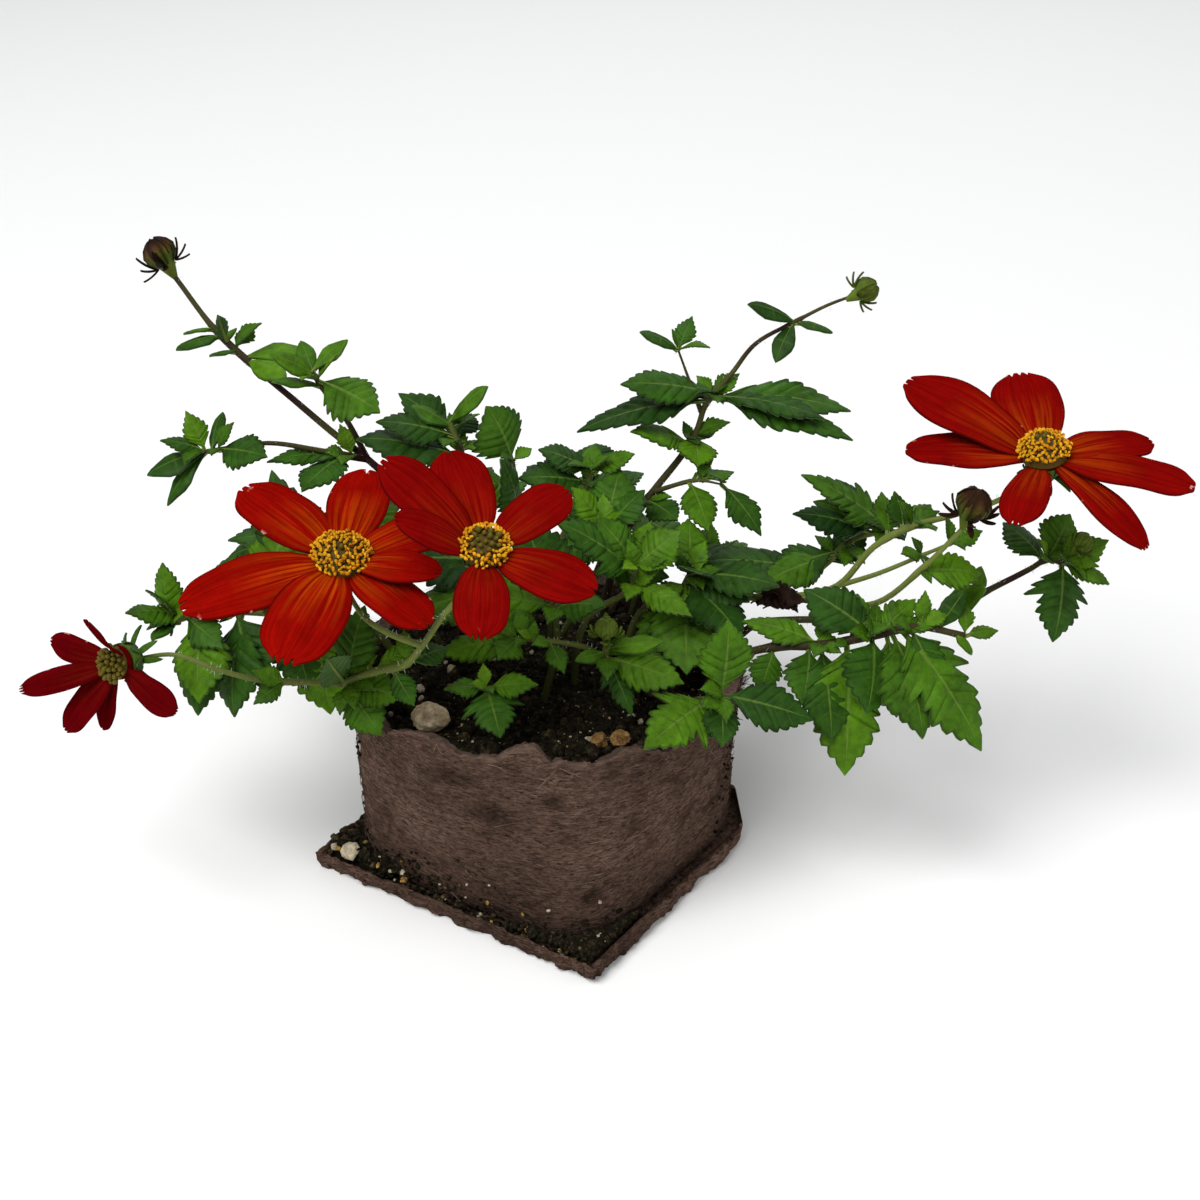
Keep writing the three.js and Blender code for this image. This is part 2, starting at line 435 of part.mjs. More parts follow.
// The disc: a low dome that florets stand out of, in a golden-angle spiral
function disc(centre, axis, radius) {
  const base = centre.clone().addScaledVector(axis, PLATE_THICK + GAP);
  const dome = [[0, 0], [0.72, 0], [0.66, 0.3], [0.42, 0.5], [0, 0.58]];
  const profile = dome.map(([r, z]) => new THREE.Vector2(r * radius, z * radius));
  const solids = [place(upright(new THREE.LatheGeometry(profile, 9)), axis, base)];
  const side = new THREE.Vector3(1, 0, 0).cross(axis).normalize();
  const florets = Math.round(radius * FLORETS_PER_RADIUS);
  for (let i = 0; i < florets; i += 1) {
    const share = Math.sqrt((i + 0.5) / florets);
    const out = side.clone().applyAxisAngle(axis, i * GOLDEN_ANGLE);
    const lean = share * 0.9;
    const aim = axis.clone().multiplyScalar(Math.cos(lean)).addScaledVector(out, Math.sin(lean));
    const foot = base.clone().addScaledVector(out, share * radius * 0.62)
      .addScaledVector(axis, radius * 0.5 * Math.sqrt(1 - share * share * 0.7));
    solids.push(place(upright(new THREE.CylinderGeometry(0.72, 0.5, 2.6, 3)), aim, foot));
  }
  return join(solids);
}

// A bud: an egg with a flat foot, which sits in a small cup on its stalk
function bud(centre, axis, radius) {
  const profile = [[0, -1], [0.55, -1], [0.96, -0.4], [1, 0.1], [0.74, 0.75], [0, 1.2]];
  const egg = new THREE.LatheGeometry(profile.map(([r, z]) => new THREE.Vector2(r * radius, z * radius)), 8);
  return place(upright(egg), axis, centre);
}

function budCup(centre, axis, radius, gap) {
  const height = radius * 0.7;
  const middle = centre.clone().addScaledVector(axis, -radius - gap - height / 2);
  const cup = upright(new THREE.CylinderGeometry(radius * 0.6, 0.6, height, 6));
  return [place(cup, axis, middle), ...bracts(middle, axis, 6, radius * 0.3, 0.3, radius * 1.5)];
}

function rimRise(turn) {
  const degrees = ((turn * 180) / Math.PI + 360) % 360;
  return RIM_WEAR.reduce((sum, [at, half, rise]) => {
    const off = Math.abs(((degrees - at + 540) % 360) - 180) / half;
    return sum + (off < 1 ? rise * (1 - off * off) : 0);
  }, 0);
}

// The pot's outer radius in a direction (radians) at a height: a rounded square at the base that
// becomes a circle at the rim
function potRadius(turn, z) {
  const local = turn - THREE.MathUtils.degToRad(TRAY_TURN);
  const spread = Math.abs(Math.cos(local)) ** POT_SQUARENESS + Math.abs(Math.sin(local)) ** POT_SQUARENESS;
  const base = POT_BASE_HALF / spread ** (1 / POT_SQUARENESS);
  const share = (z - POT_BOTTOM) / (POT_RIM_HEIGHT - POT_BOTTOM);
  return base + (POT_RIM_RADIUS - base) * share;
}

// A turned shape whose radii near POT_SIDE are counted from the pot's outer side
function potShape(profile) {
  const turned = new THREE.LatheGeometry(profile.map(([r, z]) => new THREE.Vector2(r, z)), POT_SIDES);
  return moveVertices(upright(turned), (p) => {
    const r = Math.hypot(p.x, p.y);
    if (r < POT_SIDE / 2) return;
    const scale = (potRadius(Math.atan2(p.y, p.x), p.z) + r - POT_SIDE) / r;
    p.x *= scale;
    p.y *= scale;
  });
}

function pot() {
  const floor = POT_BOTTOM + POT_FLOOR;
  const wall = POT_SIDE - POT_WALL;
  const shell = potShape([[0, POT_BOTTOM], [POT_SIDE - 1.5, POT_BOTTOM], [POT_SIDE, POT_BOTTOM + 1.5],
    [POT_SIDE, WORN_FROM], [POT_SIDE, POT_RIM_HEIGHT - 1], [POT_SIDE - 1, POT_RIM_HEIGHT],
    [wall + 0.4, POT_RIM_HEIGHT - 0.4], [wall, WORN_FROM], [wall, floor], [0, floor]]);
  return toSolid(moveVertices(shell, (p) => {
    const share = Math.max(0, (p.z - WORN_FROM) / (POT_RIM_HEIGHT - WORN_FROM));
    p.z += share * rimRise(Math.atan2(p.y, p.x));
  }));
}

function tray() {
  const half = TRAY_SIDE / 2;
  const box = new THREE.BoxGeometry(TRAY_SIDE, TRAY_SIDE, TRAY_LIP).translate(0, 0, TRAY_LIP / 2);
  const hollowSide = TRAY_SIDE - 2 * TRAY_THICK;
  const hollow = new THREE.BoxGeometry(hollowSide, hollowSide, TRAY_LIP)
    .translate(0, 0, TRAY_THICK + TRAY_LIP / 2);
  const torn = new THREE.BoxGeometry(TRAY_SIDE, TRAY_SIDE * 2, TRAY_LIP * 3)
    .translate(TORN_AT + TRAY_SIDE / 2, 0, 0);
  return toSolid(box).subtract(toSolid(hollow)).rotate([0, 0, TRAY_TURN]).subtract(toSolid(torn));
}

// Soil spilled into a corner of the tray, counted anticlockwise from the right one
function spilledSoil(corner, height) {
  const edge = TRAY_SIDE / 2 - TRAY_THICK - GAP;
  const shape = new THREE.Shape();
  shape.moveTo(edge, SPILL_FROM);
  shape.lineTo(edge, edge);
  shape.lineTo(SPILL_FROM, edge);
  for (let degrees = 62; degrees >= 28; degrees -= 34 / 6) {
    const turn = THREE.MathUtils.degToRad(degrees);
    const reach = potRadius(turn + THREE.MathUtils.degToRad(TRAY_TURN), TRAY_THICK + 2 * GAP + height) + GAP;
    shape.lineTo(reach * Math.cos(turn), reach * Math.sin(turn));
  }
  const geometry = new THREE.ExtrudeGeometry(shape, { depth: height, bevelEnabled: false });
  return toSolid(geometry.translate(0, 0, TRAY_THICK + GAP)).rotate([0, 0, TRAY_TURN + 90 * corner]);
}

function soil(holes) {
  const bottom = POT_BOTTOM + POT_FLOOR + GAP;
  const wall = POT_SIDE - POT_WALL - SOIL_INSET;
  const body = potShape([[0, bottom], [wall, bottom], [wall, SOIL_TOP - 1.5], [wall - 3, SOIL_TOP],
    [20, SOIL_TOP + 0.4], [0, SOIL_TOP + 0.6]]);
  moveVertices(body, (p) => {
    if (p.z > SOIL_TOP - 0.5) p.z += Math.sin(p.x * 0.35) * Math.cos(p.y * 0.3 + 1) * SOIL_WAVE;
  });
  return holes.reduce((left, hole) => left.subtract(hole), toSolid(body));
}

function stone(seed, [x, y, z], [a, b, c]) {
  const next = random(seed);
  const phase = [next() * 6, next() * 6, next() * 6];
  const geometry = moveVertices(new THREE.SphereGeometry(1, 9, 6), (p) => {
    const bump = 1 + 0.06 * Math.sin(3 * p.x + phase[0]) + 0.05 * Math.sin(4 * p.y + phase[1])
      + 0.05 * Math.sin(3 * p.z + phase[2]);
    p.multiplyScalar(bump);
  });
  return toSolid(geometry.scale(a, b, c).translate(x, y, z));
}

const plant = new THREE.Group();

function add(name, solid, colour, roughness) {
  const material = new THREE.MeshStandardMaterial({ color: colour, roughness, metalness: 0 });
  const mesh = new THREE.Mesh(toGeometry(solid), material);
  mesh.name = name;
  plant.add(mesh);
}

const shoots = new Map(SHOOTS.map((entry) => [entry[0], shoot(entry)]));

for (const [carrier, at, towards, radius, name] of BUDS) {
  const centre = vec(at);
  const axis = vec(towards).normalize();
  shoots.get(carrier).push(...budCup(centre, axis, radius, name ? GAP : -0.4));
  if (name) add(name, bud(centre, axis, radius), COLOURS.bud, 0.7);
  else shoots.get(carrier).push(bud(centre, axis, radius));
}

for (const [name, carrier, at, towards, radius, petals] of FLOWERS) {
  const centre = vec(at);
  const axis = vec(towards).normalize();
  shoots.get(carrier).push(...calyx(centre, axis));
  add(`petals_${name}`, petalHead(centre, axis, petals), COLOURS.red, 0.6);
  add(`disc_${name}`, disc(centre, axis, radius), COLOURS.yellow, 0.8);
}

// The plain hole that a shoot stands in: straight, from just under the stem's foot to above the soil
const holes = SHOOTS.map(([, [[radius, points]]]) => {
  const curve = new THREE.CatmullRomCurve3(points.map(vec));
  const above = [0.2, 0.4, 0.6, 0.8, 1].map((share) => curve.getPoint(share / (points.length - 1)))
    .find((point) => point.z > SOIL_TOP + 2);
  const aim = above.clone().sub(vec(points[0])).normalize();
  const below = vec(points[0]).addScaledVector(aim, -1);
  return tube(new THREE.LineCurve3(below, above), radius + HOLE_CLEARANCE, 5, 1);
});

add('tray', tray(), COLOURS.tray, 0.95);
add('pot', pot(), COLOURS.pot, 0.95);
add('soil', soil(holes), COLOURS.soil, 1);
add('spilled_soil_left', spilledSoil(2, SPILL_LEFT_HEIGHT), COLOURS.soil, 1);
add('spilled_soil_front', spilledSoil(3, SPILL_FRONT_HEIGHT), COLOURS.soil, 1);
add('stone_white', stone(3, [-22.5, -20, 43.2], [3.4, 3.1, 2.8]), COLOURS.pale, 0.8);
add('stone_tan_left', stone(5, [10.6, -27, 42], [2, 1.8, 1.7]), COLOURS.tan, 0.8);
add('stone_tan_right', stone(8, [14.9, -25.6, 41.7], [1.8, 1.7, 1.5]), COLOURS.tan, 0.8);
for (const [name, solids] of shoots) add(name, join(solids), COLOURS.leaf, 0.7);

export default plant;
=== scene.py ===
import math
import random

import bmesh
import bpy
import numpy as np
from mathutils import Matrix, Vector, noise


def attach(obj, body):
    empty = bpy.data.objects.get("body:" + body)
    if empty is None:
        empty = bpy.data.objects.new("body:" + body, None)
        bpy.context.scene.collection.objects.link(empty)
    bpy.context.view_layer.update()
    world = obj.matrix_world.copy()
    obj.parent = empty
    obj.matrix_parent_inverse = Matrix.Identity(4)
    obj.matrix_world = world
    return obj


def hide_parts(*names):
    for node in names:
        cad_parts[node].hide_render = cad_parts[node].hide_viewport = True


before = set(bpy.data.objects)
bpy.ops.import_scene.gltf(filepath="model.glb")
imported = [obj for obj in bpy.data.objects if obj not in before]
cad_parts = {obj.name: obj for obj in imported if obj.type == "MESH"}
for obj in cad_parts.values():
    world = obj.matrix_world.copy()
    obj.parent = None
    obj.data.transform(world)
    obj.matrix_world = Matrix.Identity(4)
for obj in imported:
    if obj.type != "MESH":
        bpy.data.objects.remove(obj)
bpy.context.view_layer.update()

# A bidens in bloom in a pressed-fibre pot on a square fibre tray. The tables are in millimetres.
MM = 0.001
GAP = 0.3                        # between two pieces that touch
GOLDEN_ANGLE = math.pi * (3 - math.sqrt(5))

# Tray
TRAY_SIDE = 70
TRAY_TURN = math.radians(-34)
TRAY_THICK = 1.6
TRAY_LIP = 4.5
TRAY_CELLS = 120                 # along each side of its mesh, closer together near the edges
TORN_AT = 42                     # the right corner is torn off at this x
FRAYED = 2.5                     # width of the strip along its edges that is frayed
LIP_WIDTH = 2.0
LIP_WIDTH_RIGHT = 3.2            # on the front right edge
TRAY_GRAIN = 0.25

# Pot
POT_RIM_RADIUS = 40
POT_RIM_HEIGHT = 45
POT_BASE_HALF = 31.6
POT_SQUARENESS = 5               # exponent of the base's rounded square; 2 is a circle
POT_WALL = 3
POT_FLOOR = 3
POT_BOTTOM = TRAY_THICK + GAP
POT_FOOT_INSET = 0.7
WORN_FROM = 34                   # the rim's wear reaches down to here
RIM_SLOPE = 0.35
RIM_FRAY = 1.1
RIM_UNEVEN = 0.8
FIBRE_RELIEF = 0.25
FINE_RELIEF = 0.16
DENT_DEPTH = 0.4
POT_FACETS = 280
POT_RINGS = 34
POT_INNER_RINGS = 9              # as far down inside as the wall can be seen
RIM_RINGS = 4

# The worn rim: [direction in degrees, half width in degrees, height added in mm]
RIM_WEAR = [[265, 8, 3.7], [236, 9, 1.9], [218, 8, -2], [283, 8, -1], [295, 5, 0.6], [312, 12, -2.4],
            [180, 14, 1.6], [95, 16, -1.8], [40, 12, 1.5], [140, 10, -1.4], [8, 8, -1.2]]

# Stained patches of the pot's wall: [x, y, z, reach]
POT_STAINS = [[-11.2, -38, 31.3, 6.4], [-20, -35, 38, 5], [-24, -33, 36.6, 4.5], [-16, -37, 38.2, 4],
              [9, -39, 13, 4.4], [25, -31, 22, 4.2], [-29, -27, 20, 4], [2, -40, 36, 3.6]]

# Fibres that come loose: how many, and from which one on they stand at the pot's right and left sides
LOOSE_FIBRES = 1150
SIDE_FIBRES_FROM = 900
FIBRE_SIDES = [350, 188]         # directions in degrees
CRUMB_SIDES = [354, 187]

# Soil, and its crumbs: [how many, smallest radius, largest radius]
SOIL_TOP = 40
SOIL_FACETS = 150
SOIL_RINGS = 44
SOIL_RING = 0.8                  # width of each ring of its top
SOIL_CRUMBS = [1500, 0.35, 1.9]
PERLITE_LUMPS = [70, 0.35, 1.3]
PERLITE_DUST = [420, 0.12, 0.35]
SPILL_CRUMBS = [260, 0.35, 1.3]
WALL_CRUMBS = [150, 0.2, 0.6]
SIDE_CRUMBS = [90, 0.2, 0.5]
EDGE_CRUMBS = [180, 0.3, 0.9]
WALL_SPECKS = [12, 0.25, 0.5]
EDGE_SPECKS = [16, 0.3, 0.6]
LARGE_CRUMB = 0.9                # crumbs wider than this aren't golden

# The tray's corners with spilled soil: [name, quarter turns from the right corner, height of the heap,
# its white specks], and single lumps of perlite on it: [middle, radius]
SPILLS = [["left", 2, 4, [14, 0.4, 1.0]], ["front", 3, 2.6, [10, 0.4, 0.9]]]
PERLITE_CHUNKS = [[[-41.1, -12.7, 6.2], 2.2], [[-44.8, -10, 5.2], 1.1]]

# Stones: [node, middle, radii, seed, depth of the dents as a share of the radius]
STONES = [
    ["stone_white", [-22.5, -20, 43.2], [3.6, 3.1, 2.9], 3, 0.2],
    ["stone_tan_left", [10.6, -27, 42], [1.6, 1.6, 1.5], 5, 0.3],
    ["stone_tan_right", [14.9, -25.6, 41.7], [2, 1.8, 1.6], 8, 0.3],
]

# Leaves. The breadth widens every leaf of the table, and the sides drop by the cup, as a share of the
# half width. The arch is a share of the length
LEAF_THICK = 0.42
LEAF_BREADTH = 1.25
LEAF_ARCH = 0.06
LEAF_CUP = 0.15
LEAF_RELIEF = 0.016              # depth of the quilting between veins, as a share of the length
LEAF_WAVES = 0.03                # height of the edge's waves, as a share of the length
LEAF_ROWS = [-1, -0.66, -0.3, 0, 0.3, 0.66, 1]
VEIN_LEAN = 0.2                  # how far a side vein runs forwards, as a share of the half width
TYPICAL_LEAF = 18                # shorter leaves are brighter, longer ones darker
BRIGHTEST_LEAF = 0.74
NARROW = 41                      # small leaves narrower than this have smooth edges

# Petals
PETAL_THICK = 0.4
PETAL_ARCH = 0.07
PETAL_CUP = 0.1
PETAL_FOLD = 0.007               # depth of the lengthwise folds, as a share of the length
PETAL_WAVES = 0.016
PETAL_FOOT_RISE = 0.5
PETAL_FOOT_REACH = 0.5
PETAL_ROWS = [i / 12 - 1 for i in range(25)]
PETAL_TIPS = {"three": [-0.333, 0.333], "two": [0.083], "four": [-0.583, -0.083, 0.5]}
NOTCH_DEPTH = 0.075
NOTCH_HALF_WIDTH = 0.17
NOTCH_FROM = 0.78                # share of the length from which the notches deepen
PLATE_RADIUS = 4.4
PLATE_THICK = 1.0

# Disc: how far its dome and its florets reach out and up, as shares of its radius
DOME_REACH = 0.74
FLORET_REACH = 0.67
FLORET_RISE = 0.6
DISC_EDGE = 1.35                 # how far down the dome its lowest florets sit, in radians
FLORET_LEAN = 0.66               # how far a floret leans out, as a share of where it sits

# Calyx and stems
CALYX_HEIGHT = 4
CALYX_RADIUS = 3.6
STEM_SHARE = 0.86                # of the radius in the table, which the shoot's node has
JOINT_REACH = 0.16               # how far a stem swells on either side of a leaf, in its own points
JOINT_SWELL = 0.3
HAIR_RADIUS = 0.045
HAIR_LENGTH = 0.75
HAIR_SUNK = 0.025

# Half outlines, foot to tip: [share of the length, share of the half width]
LEAF_OUTLINES = {
    "ovate": [[0, 0.05], [0.1, 0.05], [0.17, 0.24], [0.24, 0.52], [0.3, 0.76], [0.32, 0.78], [0.325, 0.68],
              [0.37, 0.84], [0.41, 0.95], [0.43, 0.95], [0.435, 0.82], [0.48, 0.94], [0.525, 1.02],
              [0.545, 1.0], [0.55, 0.85], [0.595, 0.92], [0.635, 0.93], [0.65, 0.9], [0.655, 0.74],
              [0.7, 0.78], [0.735, 0.76], [0.75, 0.72], [0.755, 0.57], [0.8, 0.58], [0.835, 0.52],
              [0.84, 0.38], [0.885, 0.34], [0.91, 0.28], [0.915, 0.19], [0.97, 0.08], [1, 0]],
    "small": [[0, 0.08], [0.12, 0.07], [0.22, 0.34], [0.3, 0.62], [0.37, 0.82], [0.39, 0.83], [0.395, 0.7],
              [0.45, 0.88], [0.51, 1.0], [0.53, 0.98], [0.535, 0.82], [0.59, 0.88], [0.64, 0.86],
              [0.66, 0.82], [0.665, 0.64], [0.72, 0.65], [0.765, 0.58], [0.77, 0.43], [0.82, 0.4],
              [0.865, 0.33], [0.87, 0.22], [0.95, 0.1], [1, 0]],
    "lobed": [[0, 0.05], [0.08, 0.05], [0.13, 0.22], [0.18, 0.44], [0.225, 0.62], [0.24, 0.63], [0.245, 0.52],
              [0.29, 0.74], [0.335, 0.88], [0.35, 0.87], [0.355, 0.74], [0.41, 0.92], [0.46, 1.02],
              [0.475, 0.97], [0.45, 0.74], [0.425, 0.5], [0.48, 0.57], [0.535, 0.66], [0.55, 0.64],
              [0.555, 0.52], [0.61, 0.62], [0.66, 0.66], [0.67, 0.62], [0.675, 0.5], [0.72, 0.53],
              [0.765, 0.5], [0.77, 0.37], [0.82, 0.37], [0.855, 0.32], [0.86, 0.21], [0.91, 0.18],
              [0.96, 0.08], [1, 0]],
    "lance": [[0, 0.12], [0.08, 0.2], [0.2, 0.5], [0.35, 0.84], [0.5, 1], [0.65, 0.94], [0.8, 0.68],
              [0.92, 0.34], [1, 0]],
}
PETAL_OUTLINE = [[0, 0.22], [0.08, 0.4], [0.2, 0.7], [0.3, 0.84], [0.42, 0.95], [0.54, 1], [0.66, 0.99],
                 [0.76, 0.94], [0.85, 0.82], [0.93, 0.64], [1, 0.38]]
BRACT_OUTLINE = [[0, 0.55], [0.25, 0.9], [0.5, 1], [0.75, 0.75], [0.92, 0.4], [1, 0]]

